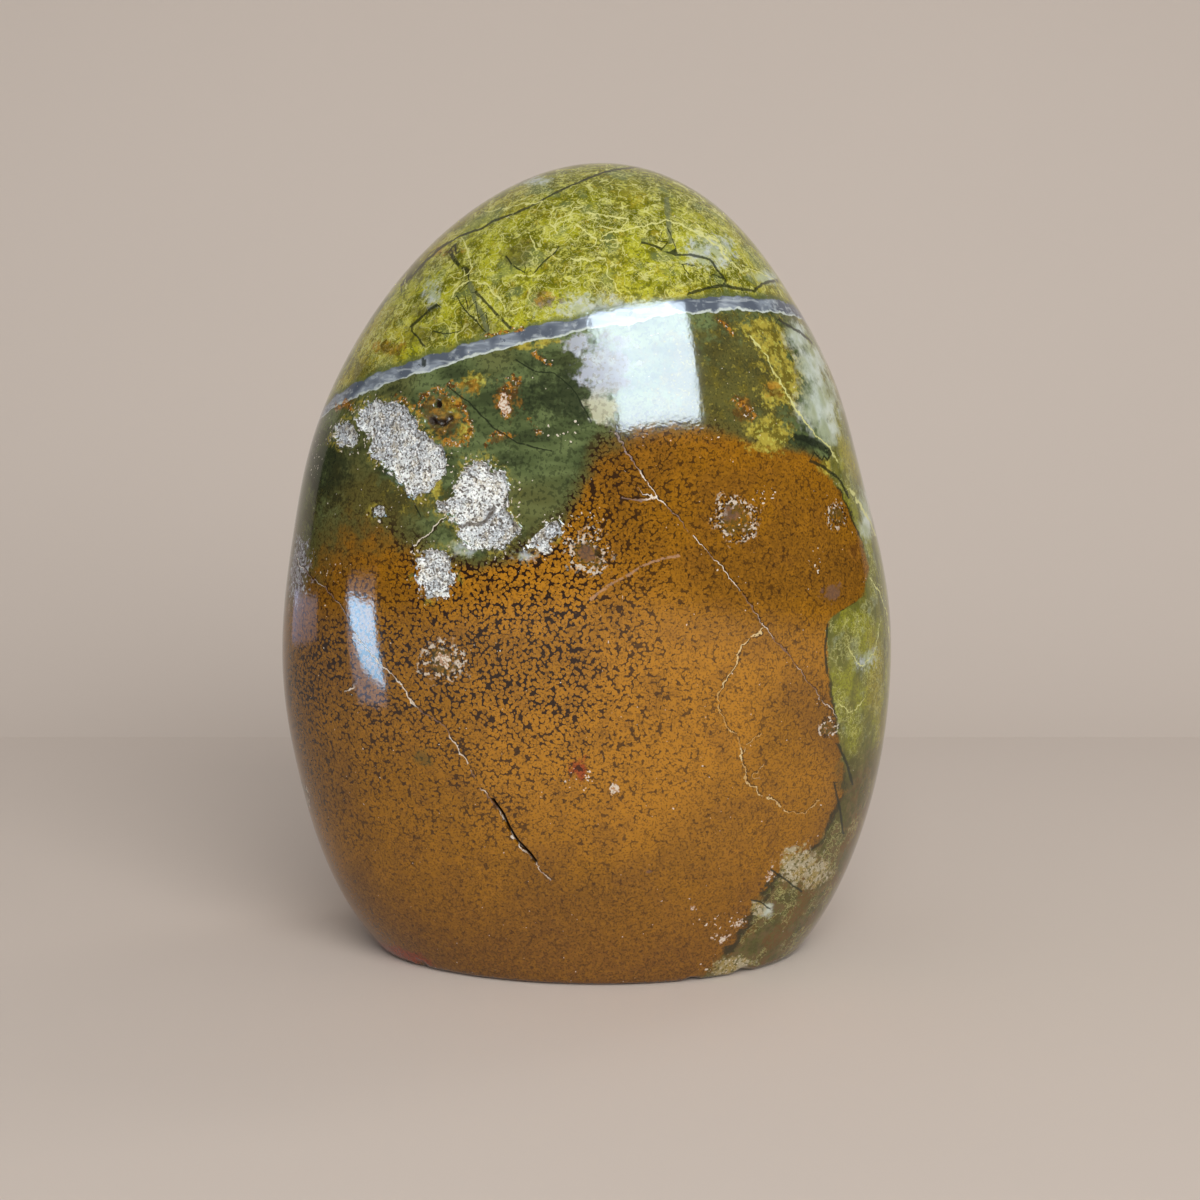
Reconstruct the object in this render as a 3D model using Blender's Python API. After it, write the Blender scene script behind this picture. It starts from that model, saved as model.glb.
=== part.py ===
# Green opal freeform: one hand-ground and polished stone that stands on a flat cut foot.
# The origin is the middle of the foot, +Z is up, and the best face looks along -Y.

import math

import bmesh
import bpy
import numpy as np
from mathutils import Vector, noise

MM = 0.001

# Driving dimensions, in millimetres and degrees
HEART = (2.8, 0.4, 66.0)    # the point inside the stone that its profiles are measured from
PROFILE_STEP = 15
LOWEST_LIFT = -75
PROFILES = {                # reach from the heart at each step of lift, from -75 up to 75
    "right": (83, 77, 68, 61, 56.5, 54.5, 53.5, 55, 61.5, 68.5, 80),
    "left": (80, 80.5, 73.5, 66, 62.5, 60, 59.5, 63, 67, 73, 80),
    "front": (87.5, 65, 51.5, 44.5, 41.5, 40.5, 41.5, 45.5, 54.5, 67.5, 80),
    "back": (83, 65.5, 52.5, 45, 41, 39.5, 41, 44.5, 52, 64.5, 80),
}
TOP = 85
BOXINESS = 0.45             # how much squarer than an ellipse the stone is at its waist
RIM_ROUNDING = 1.4          # radius worn round the edge of the foot
FOOT_MARGIN = 4.0           # band of the foot that the rim's chips may reach into

# Mesh spacing: cuts on each face of the starting cube, then halvings near the relief
CUBE_CUTS = 17
COARSE_HALVINGS = 2     # over every hollow
FINE_HALVINGS = 1       # more, over the pits and the open crack
COARSE_REACH = 1.6
FINE_REACH = 1.0
SNAP_TO_FOOT = 0.6      # points this near the foot plane are put on it

# Crystal-lined hollows in the front face, as outlines in x and z
HOLLOW_DEPTH = 0.8
HOLLOW_WALL = 0.9       # width of the sloping wall inside the outline
CRYSTAL_LUMP = 0.22     # height of the crystal lumps on the floor
CRYSTAL_SPACING = 2.4
HOLLOWS = {
    "nub": (
        (-46, 99), (-45.5, 101), (-44, 102), (-42, 102),
        (-40.5, 100.5), (-40.5, 98.5), (-42, 97.5), (-44, 98),
    ),
    "upper": (
        (-42, 102.5), (-40, 105), (-37, 106), (-34.5, 106), (-31.5, 105), (-30, 103.5),
        (-28.5, 100.5), (-26.5, 99.5), (-25, 98.5), (-24, 96.5), (-24.5, 94.5), (-28, 90.5),
        (-30.5, 90), (-32.5, 92), (-35.5, 94.5), (-38.5, 97.5), (-38, 99), (-41, 101.5),
    ),
    "middle": (
        (-22.5, 92.5), (-21.5, 95), (-19, 96.5), (-17, 96), (-16.5, 95), (-14.5, 94),
        (-13, 91), (-13.5, 88), (-11.5, 84.5), (-12, 83), (-14.5, 81), (-20, 81),
        (-21.5, 83), (-21.5, 84.5), (-23, 85.5), (-24, 87.5), (-26, 87.5), (-26, 89),
        (-24, 89), (-23, 90.5),
    ),
    "lobe": (
        (-20, 81), (-22, 79.5), (-23.5, 79), (-24, 76.5), (-23.5, 75), (-24, 73.5),
        (-26, 72.5), (-28.5, 73), (-29, 75.5), (-29.5, 77.5), (-28, 80), (-26, 80.5),
        (-23, 81), (-21.5, 83),
    ),
    "tail": (
        (-10.5, 81.5), (-8.5, 83.5), (-6.5, 85.5), (-4.5, 86), (-4, 85), (-5.5, 83),
        (-6.5, 81), (-9.5, 81),
    ),
}

# A ledge crosses the middle hollow, whose floor steps down below it
LEDGE = ((-21.5, 85.5), (-15.5, 89))
LEDGE_DROP = 0.5
LEDGE_WIDTH = 0.8
LEDGE_REACH = 6.0       # how far below the ledge the lower floor runs

# The rust-ringed vug, a shallow dish with pits in it: x, z, half width, half height, depth
PITS = (
    (-25.8, 105.6, 0.9, 1.0, 1.3),
    (-25.6, 102.5, 2.3, 1.1, 1.2),
    (-22.0, 103.4, 1.2, 1.5, 0.5),
    (-24.6, 104.4, 3.6, 3.4, 0.3),
)

# The crack that gapes open low on the front: its line, half width and depth
GAP = ((-16.5, 36), (-14.8, 33.5), (-13.5, 30.5), (-12.3, 28.5), (-10, 26), (-9, 24.5))
GAP_HALF_WIDTH = 0.75
GAP_DEPTH = 1.6

# Chips out of the rim of the foot: x, y, radius, depth
CHIPS = (
    (19.0, -26.5, 2.4, 1.0),
    (28.5, -22.0, 3.0, 0.9),
    (-31.5, -20.0, 2.6, 0.7),
    (8.0, 29.0, 3.2, 0.9),
)

STONE_COLOUR = (0.26, 0.14, 0.035, 1.0)
STONE_ROUGHNESS = 0.12


def smooth_curve(guides, position):
    """Cubic curve that runs close by its evenly spaced guide values; the end values repeat."""
    index = np.floor(position).astype(int)
    t = position - index
    weights = ((1 - t)**3, 3 * t**3 - 6 * t**2 + 4, -3 * t**3 + 3 * t**2 + 3 * t + 1, t**3)
    total = 0.0
    for shift, weight in enumerate(weights):
        total += weight * guides[np.clip(index + shift - 1, 0, len(guides) - 1)] / 6
    return total


def profile_reach(near, far, lifts, on_near):
    """Reach along one outline, which runs up the near profile and down the far one."""
    guides = np.array(PROFILES[near] + (TOP,) + PROFILES[far][::-1], dtype=float)
    position = (lifts - LOWEST_LIFT) / PROFILE_STEP
    return smooth_curve(guides, np.where(on_near, position, len(guides) - 1 - position))


def stone_reach(directions):
    """Distance from the heart to the polished surface along each unit direction."""
    x, y, z = directions.T
    lifts = np.degrees(np.arcsin(np.clip(z, -1.0, 1.0)))
    level = np.maximum(np.hypot(x, y), 1e-9)
    sideways = profile_reach("right", "left", lifts, x >= 0)
    forwards = profile_reach("front", "back", lifts, y <= 0)
    power = 2.0 + BOXINESS * np.cos(np.radians(lifts))**2
    share = (np.abs(x) / level / sideways)**power + (np.abs(y) / level / forwards)**power
    return share**(-1.0 / power)


def put_on_surface(body):
    """Moves every vertex straight out from the heart onto the polished surface."""
    heart = np.array(HEART)
    offsets = np.array([vertex.co for vertex in body.verts]) - heart
    directions = offsets / np.linalg.norm(offsets, axis=1, keepdims=True)
    places = heart + directions * stone_reach(directions)[:, None]
    for vertex, place in zip(body.verts, places):
        vertex.co = place


def line_distance(point, line):
    """Distance from a point to an open line of points, in x and z."""
    best = math.inf
    for start, end in zip(line, line[1:]):
        run = Vector(end) - Vector(start)
        along = (point - Vector(start)).dot(run) / run.length_squared
        along = min(max(along, 0.0), 1.0)
        best = min(best, (point - Vector(start) - along * run).length)
    return best


def depth_inside(point, outline):
    """How far a point lies inside a closed outline; negative outside it."""
    inside = False
    for start, end in zip(outline, outline[1:] + outline[:1]):
        if (start[1] > point.y) != (end[1] > point.y):
            share = (point.y - start[1]) / (end[1] - start[1])
            if point.x < start[0] + share * (end[0] - start[0]):
                inside = not inside
    distance = line_distance(point, outline + outline[:1])
    return distance if inside else -distance


def ramp(value, width):
    """Smooth step from 0 at 0 to 1 at width."""
    share = min(max(value / width, 0.0), 1.0)
    return share * share * (3.0 - 2.0 * share)


def hollow_depth(point, place):
    """Depth of the crystal-lined hollows at a point of the front face."""
    inside = max(depth_inside(point, outline) for outline in HOLLOWS.values())
    if inside <= 0.0:
        return 0.0
    lumps = noise.noise(Vector(place) / CRYSTAL_SPACING) * CRYSTAL_LUMP
    left, right = LEDGE
    share = (point.x - left[0]) / (right[0] - left[0])
    below = left[1] + share * (right[1] - left[1]) - point.y
    step = ramp(below, LEDGE_WIDTH) * (1.0 - ramp(below - LEDGE_REACH, LEDGE_REACH))
    step *= ramp(point.x - left[0] + LEDGE_WIDTH, LEDGE_WIDTH)
    return ramp(inside, HOLLOW_WALL) * (HOLLOW_DEPTH + lumps + LEDGE_DROP * step)


def pit_depth(point):
    """Depth of the rust-ringed vug at a point of the front face."""
    total = 0.0
    for x, z, half_width, half_height, depth in PITS:
        spread = math.hypot((point.x - x) / half_width, (point.y - z) / half_height)
        total += depth * ramp(1.0 - spread, 1.0)
    return total


def gap_depth(point):
    """Depth of the open crack at a point of the front face."""
    return GAP_DEPTH * ramp(GAP_HALF_WIDTH - line_distance(point, GAP), GAP_HALF_WIDTH)


def near_relief(point, reach, fine_only):
    """Whether a point of the front face lies within reach of a hollow, a pit or the crack."""
    if line_distance(point, GAP) < reach:
        return True
    for x, z, half_width, half_height, _ in PITS:
        if math.hypot(point.x - x, point.y - z) < max(half_width, half_height) + reach:
            return True
    if fine_only:
        return False
    return any(depth_inside(point, outline) > -reach for outline in HOLLOWS.values())


def refine(body, reach, fine_only):
    """Halves the mesh spacing near the relief of the front face."""
    edges = set()
    for face in body.faces:
        centre = face.calc_center_median()
        if centre.y < 0 and near_relief(Vector((centre.x, centre.z)), reach, fine_only):
            edges.update(face.edges)
    bmesh.ops.subdivide_edges(body, edges=list(edges), cuts=1, use_grid_fill=True)
    bmesh.ops.triangulate(body, faces=[face for face in body.faces if len(face.verts) > 4])
    put_on_surface(body)


def cube_sphere():
    """Ball of even square faces round the heart, from a cube."""
    body = bmesh.new()
    bmesh.ops.create_cube(body, size=2.0)
    bmesh.ops.subdivide_edges(body, edges=body.edges[:], cuts=CUBE_CUTS, use_grid_fill=True)
    for vertex in body.verts:
        spread = [math.tan(value * math.pi / 4) for value in vertex.co]
        vertex.co = Vector(spread).normalized() + Vector(HEART)
    return body


def cut_foot(body):
    """Saws the stone flat at z = 0, closes the cut and wears its rim round."""
    for vertex in body.verts:
        if abs(vertex.co.z) < SNAP_TO_FOOT:
            vertex.co.z = 0.0
    parts = body.verts[:] + body.edges[:] + body.faces[:]
    bmesh.ops.bisect_plane(body, geom=parts, plane_co=(0, 0, 0), plane_no=(0, 0, -1),
                           clear_outer=True, dist=SNAP_TO_FOOT / 100)
    rim = [edge for edge in body.edges if edge.is_boundary]
    foot = bmesh.ops.contextual_create(body, geom=rim)["faces"]
    bmesh.ops.bevel(body, geom=list(foot[0].edges), offset=RIM_ROUNDING, segments=3,
                    profile=0.5, affect="EDGES", clamp_overlap=True)
    foot = max(body.faces, key=lambda face: face.calc_area())
    bmesh.ops.inset_region(body, faces=[foot], thickness=FOOT_MARGIN, use_even_offset=True)


def carve(body):
    """Sinks the hollows, the pits, the open crack and the rim's chips into the surface."""
    body.normal_update()
    moves = []
    for vertex in body.verts:
        place = vertex.co.copy()
        depth = 0.0
        if place.y < 0 and place.z > RIM_ROUNDING:
            point = Vector((place.x, place.z))
            depth = hollow_depth(point, place) + pit_depth(point) + gap_depth(point)
        moves.append(-vertex.normal * depth)
    for vertex, move in zip(body.verts, moves):
        vertex.co += move
    for x, y, radius, chip_depth in CHIPS:
        middle = Vector((x, y, 0.0))
        for vertex in body.verts:
            bite = chip_depth * ramp(radius - (vertex.co - middle).length, radius)
            inward = Vector((-x, -y, 0.0)).normalized() + Vector((0.0, 0.0, 0.6))
            vertex.co += inward * bite


def stone_material():
    material = bpy.data.materials.new("polished brown and green opal")
    material.use_nodes = True
    shader = material.node_tree.nodes["Principled BSDF"]
    shader.inputs["Base Color"].default_value = STONE_COLOUR
    shader.inputs["Roughness"].default_value = STONE_ROUGHNESS
    shader.inputs["Metallic"].default_value = 0.0
    return material


def make_stone():
    body = cube_sphere()
    put_on_surface(body)
    for _ in range(COARSE_HALVINGS):
        refine(body, COARSE_REACH, fine_only=False)
    for _ in range(FINE_HALVINGS):
        refine(body, FINE_REACH, fine_only=True)
    cut_foot(body)
    carve(body)
    bmesh.ops.scale(body, vec=(MM, MM, MM), verts=body.verts)
    bmesh.ops.triangulate(body, faces=body.faces)
    bmesh.ops.recalc_face_normals(body, faces=body.faces)
    mesh = bpy.data.meshes.new("opal_freeform")
    body.to_mesh(mesh)
    body.free()
    mesh.shade_smooth()
    mesh.set_sharp_from_angle(angle=math.radians(40))
    mesh.materials.append(stone_material())
    stone = bpy.data.objects.new("opal_freeform", mesh)
    bpy.context.scene.collection.objects.link(stone)
    return stone


def main():
    for leftover in list(bpy.data.objects):
        bpy.data.objects.remove(leftover, do_unlink=True)
    make_stone()


main()
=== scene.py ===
import math

import bpy
import numpy as np
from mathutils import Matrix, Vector, noise


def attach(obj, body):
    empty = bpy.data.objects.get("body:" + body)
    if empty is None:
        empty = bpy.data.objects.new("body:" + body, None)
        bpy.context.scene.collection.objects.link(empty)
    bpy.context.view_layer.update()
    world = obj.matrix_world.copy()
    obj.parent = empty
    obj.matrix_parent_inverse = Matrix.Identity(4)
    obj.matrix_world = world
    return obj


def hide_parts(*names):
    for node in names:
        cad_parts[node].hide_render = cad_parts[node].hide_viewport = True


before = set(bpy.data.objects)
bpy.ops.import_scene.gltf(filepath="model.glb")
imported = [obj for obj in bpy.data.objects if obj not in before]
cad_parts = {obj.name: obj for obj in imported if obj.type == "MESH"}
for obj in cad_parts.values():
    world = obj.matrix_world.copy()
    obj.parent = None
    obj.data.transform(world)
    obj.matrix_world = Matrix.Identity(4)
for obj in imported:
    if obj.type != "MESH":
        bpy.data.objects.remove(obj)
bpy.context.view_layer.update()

mm = 0.001    # everything below is in millimetres and degrees until it goes on a mesh

# the stone's body, from the same profiles as the solid it stands for
stoneShape = {
    "heart": (2.8, 0.4, 66.0),
    "step": 15,
    "lowest": -75,
    "right": (83, 77, 68, 61, 56.5, 54.5, 53.5, 55, 61.5, 68.5, 80),
    "left": (80, 80.5, 73.5, 66, 62.5, 60, 59.5, 63, 67, 73, 80),
    "front": (87.5, 65, 51.5, 44.5, 41.5, 40.5, 41.5, 45.5, 54.5, 67.5, 80),
    "back": (83, 65.5, 52.5, 45, 41, 39.5, 41, 44.5, 52, 64.5, 80),
    "top": 85,
    "boxiness": 0.45,
    "cubeCuts": 84,        # mesh lines on each face of the starting cube
    "refined": ((2.6, False), (1.2, False), (0.5, True)),    # reach, round the finest relief only
    "rim": 1.4,            # rounding worn round the foot
    "footOval": (39.0, 29.0),
    "footInset": 3.5,
    "footSnap": 0.12,      # points this near the saw cut are put on it
    "creaseAngle": 60,
}

# crystal-lined hollows in the best face, outlines in x and z
hollows = {
    "depth": 0.75,
    "wall": 0.5,
    "lump": (2.4, 0.25),       # spacing and height of the lumps on the floor
    "grain": (0.95, 0.22),     # spacing and height of the crystals
    "ledge": ((-21.5, 85.5), (-15.5, 89), 0.5, 0.5, 6.0),    # line, drop, width, reach below
    "ragged": ((2.6, 0.75), (0.9, 0.45)),    # spacing and size of the outline's wander
    "outlines": (
        ((-46, 99), (-45.5, 101), (-44, 102), (-42, 102),
         (-40.5, 100.5), (-40.5, 98.5), (-42, 97.5), (-44, 98)),
        ((-42, 102.5), (-40, 105), (-37, 106), (-34.5, 106), (-31.5, 105), (-30, 103.5),
         (-28.5, 100.5), (-26.5, 99.5), (-25, 98.5), (-24, 96.5), (-24.5, 94.5), (-28, 90.5),
         (-30.5, 90), (-32.5, 92), (-35.5, 94.5), (-38.5, 97.5), (-38, 99), (-41, 101.5)),
        ((-22.5, 92.5), (-21.5, 95), (-19, 96.5), (-17, 96), (-16.5, 95), (-14.5, 94),
         (-13, 91), (-13.5, 88), (-11.5, 84.5), (-12, 83), (-14.5, 81), (-20, 81),
         (-21.5, 83), (-21.5, 84.5), (-23, 85.5), (-24, 87.5), (-26, 87.5), (-26, 89),
         (-24, 89), (-23, 90.5)),
        ((-23.5, 79.5), (-23.5, 77), (-23, 75), (-24, 73), (-26, 72), (-28.5, 73),
         (-29.5, 75.5), (-29.5, 77.5), (-28.5, 80), (-26, 81)),
        ((-10.5, 81.5), (-8.5, 83.5), (-6.5, 85.5), (-4.5, 86), (-4, 85), (-5.5, 83),
         (-6.5, 81), (-9.5, 81)),
        ((-37.5, 86.8), (-36.2, 87.6), (-35.4, 86.6), (-36.4, 85.6)),
    ),
}

# the rust-ringed vug: x, z, half width, half height, depth of each pit
vugPits = (
    (-25.9, 105.9, 0.9, 0.9, 1.6),
    (-27.0, 103.0, 1.4, 1.1, 1.5),
    (-25.2, 102.7, 1.6, 1.0, 1.2),
    (-23.8, 103.5, 1.2, 1.2, 0.9),
    (-25.2, 104.2, 3.2, 3.0, 0.3),
)

# the crack that gapes open low on the front
openCrack = {
    "line": ((-16.5, 36), (-14.8, 33.5), (-13.5, 30.5), (-12.3, 28.5), (-10, 26), (-9, 24.5)),
    "halfWidth": 0.42,
    "depth": 1.5,
}

# chips out of the rim of the foot: x, y, radius, depth
rimChips = (
    (19.0, -26.5, 2.4, 1.0),
    (28.5, -22.0, 3.0, 0.9),
    (-31.5, -20.0, 2.6, 0.7),
    (8.0, 29.0, 3.2, 0.9),
)

# the opal vein is a sheet through the stone: height at the heart's axis, then slopes
veinSheet = {"height": 109.7, "slopeX": 0.204, "bow": 0.0003, "slopeY": -0.292}

# the brown jasper's upper edge, as height over x, and how it tips towards the back
brownEdge = {
    "x": (-62, -52.5, -47, -42, -37, -32.5, -25.5, -18.5, -11.5, -4.5, -1, 2.5, 9.5, 20,
          30.5, 40, 45.5, 62),
    "z": (72, 76, 80, 83.5, 83.5, 81, 78.5, 76.5, 79, 82.5, 89.5, 96.5, 101, 101.5,
          99.5, 98.5, 96, 90),
    "soft": (8, 8, 8, 7.5, 6, 3, 1.4, 1.3, 1.8, 3, 3.5, 3.5, 2.8, 1.8, 0.9, 0.8, 0.8, 0.8),
    "tip": -0.22,
    "front": -36,
}

# the green band down the right side starts at this x for each height
greenBand = {
    "z": (0, 4, 10, 15.5, 21.5, 25.5, 35, 41, 45.5, 51, 56.5, 62, 65.5, 67.5, 68.7, 69.6, 70.8,
          75.5, 80.5, 85.5, 89.7, 92, 97, 100, 106, 120),
    "x": (21, 24.5, 29, 31.5, 35.5, 43, 47.5, 46.4, 45.5, 44.5, 43.6, 42.9, 42.7, 43.4, 45.2,
          47.8, 50, 51.6, 50, 47.9, 46, 44, 43.5, 43.5, 42.5, 40.5),
    "behind": (20, 25, 31, 33, 32, 34, 44, 49, 51, 49, 44, 41, 40, 40, 40,
               41, 42, 46, 52, 54, 52, 49, 43, 38, 34, 34),
    "turn": (-8, 14),    # from this far back, and over how much, it goes by "behind"
    "wrap": 0.35,
    "front": -20,
    "blend": ((0, 28, 40, 46), (3.2, 2.8, 1.6, 1.0)),    # heights, how softly it fades in
}


def smoothCurve(guides, position):    # runs close by its evenly spaced guide values
    index = np.floor(position).astype(int)
    t = position - index
    weights = ((1 - t)**3, 3 * t**3 - 6 * t**2 + 4, -3 * t**3 + 3 * t**2 + 3 * t + 1, t**3)
    total = 0.0
    for shift, weight in enumerate(weights):
        total = total + weight * guides[np.clip(index + shift - 1, 0, len(guides) - 1)] / 6
    return total


def profileReach(near, far, lifts, onNear):
    guides = np.array(stoneShape[near] + (stoneShape["top"],) + stoneShape[far][::-1], float)
    position = (lifts - stoneShape["lowest"]) / stoneShape["step"]
    return smoothCurve(guides, np.where(onNear, position, len(guides) - 1 - position))


def stoneReach(directions):
    x, y, z = directions.T
    lifts = np.degrees(np.arcsin(np.clip(z, -1.0, 1.0)))
    level = np.maximum(np.hypot(x, y), 1e-9)
    sideways = profileReach("right", "left", lifts, x >= 0)
    forwards = profileReach("front", "back", lifts, y <= 0)
    power = 2.0 + stoneShape["boxiness"] * np.cos(np.radians(lifts))**2
    share = (np.abs(x) / level / sideways)**power + (np.abs(y) / level / forwards)**power
    return share**(-1.0 / power)


def readPoints(mesh):
    points = np.empty(len(mesh.vertices) * 3)
    mesh.vertices.foreach_get("co", points)
    return points.reshape(-1, 3)


def writePoints(mesh, points):
    mesh.vertices.foreach_set("co", points.ravel())
    mesh.update()


def readNormals(mesh):
    normals = np.empty(len(mesh.vertices) * 3)
    mesh.vertices.foreach_get("normal", normals)
    return normals.reshape(-1, 3)


def ontoSurface(mesh):    # each point goes straight out from the heart to the polished surface
    heart = np.array(stoneShape["heart"])
    offsets = readPoints(mesh) - heart
    directions = offsets / np.linalg.norm(offsets, axis=1, keepdims=True)
    writePoints(mesh, heart + directions * stoneReach(directions)[:, None])


def ramp(value, width):
    share = np.clip(value / width, 0.0, 1.0)
    return share * share * (3.0 - 2.0 * share)


def alongLine(points, line):    # distance, signed offset and overrun from an open line
    best = np.full(len(points), np.inf)
    offset = np.zeros(len(points))
    beyond = np.zeros(len(points))
    last = len(line) - 2
    for index, (start, end) in enumerate(zip(line, line[1:])):
        run = np.array(end, float) - np.array(start, float)
        length = np.hypot(*run)
        local = points - np.array(start, float)
        along = local @ run / length
        side = (run[0] * local[:, 1] - run[1] * local[:, 0]) / length
        inLine = np.clip(along, 0, length)
        distance = np.hypot(along - inLine, side)
        over = np.zeros(len(points))
        if index == 0:
            over = np.maximum(over, -along)
        if index == last:
            over = np.maximum(over, along - length)
        closer = distance < best
        best = np.where(closer, distance, best)
        offset = np.where(closer, np.where(over > 0, side, np.sign(side) * distance), offset)
        beyond = np.where(closer, over, beyond)
    return best, offset, beyond


def depthInside(points, outline):    # distance inside a closed outline, negative outside
    closed = tuple(outline) + (outline[0],)
    inside = np.zeros(len(points), bool)
    for start, end in zip(closed, closed[1:]):
        crosses = (start[1] > points[:, 1]) != (end[1] > points[:, 1])
        rise = end[1] - start[1] or 1e-9
        edgeX = start[0] + (points[:, 1] - start[1]) / rise * (end[0] - start[0])
        inside ^= crosses & (points[:, 0] < edgeX)
    distance = alongLine(points, closed)[0]
    return np.where(inside, distance, -distance)


def hollowDepthField(points):
    return np.max([depthInside(points, outline) for outline in hollows["outlines"]], axis=0)


def frontOnly(points, field, elsewhere):    # a field of the front face, held off the back
    return np.where(points[:, 1] < 0, field, elsewhere)


def selectFaces(mesh, picked):
    sizes = np.empty(len(mesh.polygons), int)
    mesh.polygons.foreach_get("loop_total", sizes)
    corners = np.repeat(picked, sizes)
    cornerVerts = np.empty(len(mesh.loops), int)
    mesh.loops.foreach_get("vertex_index", cornerVerts)
    cornerEdges = np.empty(len(mesh.loops), int)
    mesh.loops.foreach_get("edge_index", cornerEdges)
    verts = np.zeros(len(mesh.vertices), bool)
    verts[cornerVerts[corners]] = True
    edges = np.zeros(len(mesh.edges), bool)
    edges[cornerEdges[corners]] = True
    mesh.polygons.foreach_set("select", picked)
    mesh.edges.foreach_set("select", edges)
    mesh.vertices.foreach_set("select", verts)


def faceCentres(mesh):
    centres = np.empty(len(mesh.polygons) * 3)
    mesh.polygons.foreach_get("center", centres)
    return centres.reshape(-1, 3)


def reliefReach(points):    # how far each point of the front is from the relief, two ways
    flat = points[:, (0, 2)]
    pits = [np.hypot(flat[:, 0] - x, flat[:, 1] - z) - max(w, h) for x, z, w, h, _ in vugPits]
    pits.append(alongLine(flat, openCrack["line"])[0])
    chips = [np.linalg.norm(points - (x, y, 0), axis=1) - r for x, y, r, _ in rimChips]
    fine = np.minimum(frontOnly(points, np.min(pits, axis=0), np.inf), np.min(chips, axis=0))
    coarse = np.minimum(frontOnly(points, -hollowDepthField(flat), np.inf), fine)
    return coarse, fine


def refine(body, reach, finestOnly):
    centres = faceCentres(body.data)
    coarse, fine = reliefReach(centres)
    picked = (fine if finestOnly else coarse) < reach
    if not finestOnly:
        picked |= np.abs(centres[:, 2]) < reach
    selectFaces(body.data, picked)
    bpy.ops.object.mode_set(mode="EDIT")
    bpy.ops.mesh.subdivide(number_cuts=1)
    bpy.ops.object.mode_set(mode="OBJECT")
    ontoSurface(body.data)


def makeBall():
    bpy.ops.object.select_all(action="DESELECT")
    bpy.ops.mesh.primitive_cube_add(size=2)
    body = bpy.context.object
    body.name = "greenOpalStone"
    bpy.ops.object.mode_set(mode="EDIT")
    bpy.ops.mesh.select_all(action="SELECT")
    bpy.ops.mesh.subdivide(number_cuts=stoneShape["cubeCuts"])
    bpy.ops.object.mode_set(mode="OBJECT")
    spread = np.tan(readPoints(body.data) * math.pi / 4)    # evens out the faces of the ball
    spread /= np.linalg.norm(spread, axis=1, keepdims=True)
    writePoints(body.data, spread + np.array(stoneShape["heart"]))
    ontoSurface(body.data)
    return body


def sawFoot(body):
    points = readPoints(body.data)
    points[np.abs(points[:, 2]) < stoneShape["footSnap"], 2] = 0.0
    writePoints(body.data, points)
    bpy.ops.object.mode_set(mode="EDIT")
    bpy.ops.mesh.select_all(action="SELECT")
    bpy.ops.mesh.bisect(plane_co=(0, 0, 0), plane_no=(0, 0, 1), use_fill=True,
                        clear_inner=True, threshold=0.01)
    bpy.ops.mesh.inset(thickness=stoneShape["footInset"])
    bpy.ops.object.mode_set(mode="OBJECT")
    points = readPoints(body.data)
    rim = stoneShape["rim"]
    low = np.clip(rim - points[:, 2], 0, rim)
    inset = rim - np.sqrt(np.maximum(rim**2 - low**2, 0.0))
    outward = points[:, :2] / np.square(stoneShape["footOval"])
    outward /= np.maximum(np.linalg.norm(outward, axis=1, keepdims=True), 1e-9)
    points[:, :2] -= outward * inset[:, None]
    writePoints(body.data, points)


def raggedField(points, picked):    # how far the hollows' outlines wander in and out
    field = np.zeros(len(points))
    for index in np.nonzero(picked)[0]:
        place = Vector(points[index])
        for spacing, size in hollows["ragged"]:
            field[index] += noise.noise(place / spacing) * size
    return field


def grainField(points, picked):    # crystals and lumps that stand on the hollows' floors
    field = np.zeros(len(points))
    lumpSpacing, lumpHeight = hollows["lump"]
    grainSpacing, grainHeight = hollows["grain"]
    for index in np.nonzero(picked)[0]:
        place = Vector(points[index])
        crystal = 0.5 - noise.voronoi(place / grainSpacing)[0][0]
        field[index] = noise.noise(place / lumpSpacing) * lumpHeight - crystal * grainHeight
    return field


def carve(body):
    mesh = body.data
    points = readPoints(mesh)
    flat = points[:, (0, 2)]
    inside = frontOnly(points, hollowDepthField(flat), -9.0)
    inside += raggedField(points, inside > -2.5)
    (leftX, leftZ), (rightX, rightZ), drop, width, reach = hollows["ledge"]
    slope = (rightZ - leftZ) / (rightX - leftX)
    below = leftZ + slope * (flat[:, 0] - leftX) - flat[:, 1]
    step = ramp(below, width) * (1 - ramp(below - reach, reach)) * ramp(flat[:, 0] - leftX, width)
    floor = hollows["depth"] + drop * step + grainField(points, inside > 0)
    depth = ramp(inside, hollows["wall"]) * floor
    holes = np.zeros(len(points))
    for x, z, halfWidth, halfHeight, pit in vugPits:
        spread = np.hypot((flat[:, 0] - x) / halfWidth, (flat[:, 1] - z) / halfHeight)
        holes += frontOnly(points, pit * ramp(1 - spread, 1.0), 0.0)
    gap = openCrack["halfWidth"] - alongLine(flat, openCrack["line"])[0]
    holes += frontOnly(points, openCrack["depth"] * ramp(gap, openCrack["halfWidth"]), 0.0)
    depth += holes
    points = points - readNormals(mesh) * depth[:, None]
    for x, y, radius, bite in rimChips:
        away = np.linalg.norm(points - (x, y, 0), axis=1)
        inward = np.array((-x, -y, 0)) / math.hypot(x, y) + (0, 0, 0.6)
        points += ramp(radius - away, radius)[:, None] * bite * inward
    writePoints(mesh, points)
    return inside, holes


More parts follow.
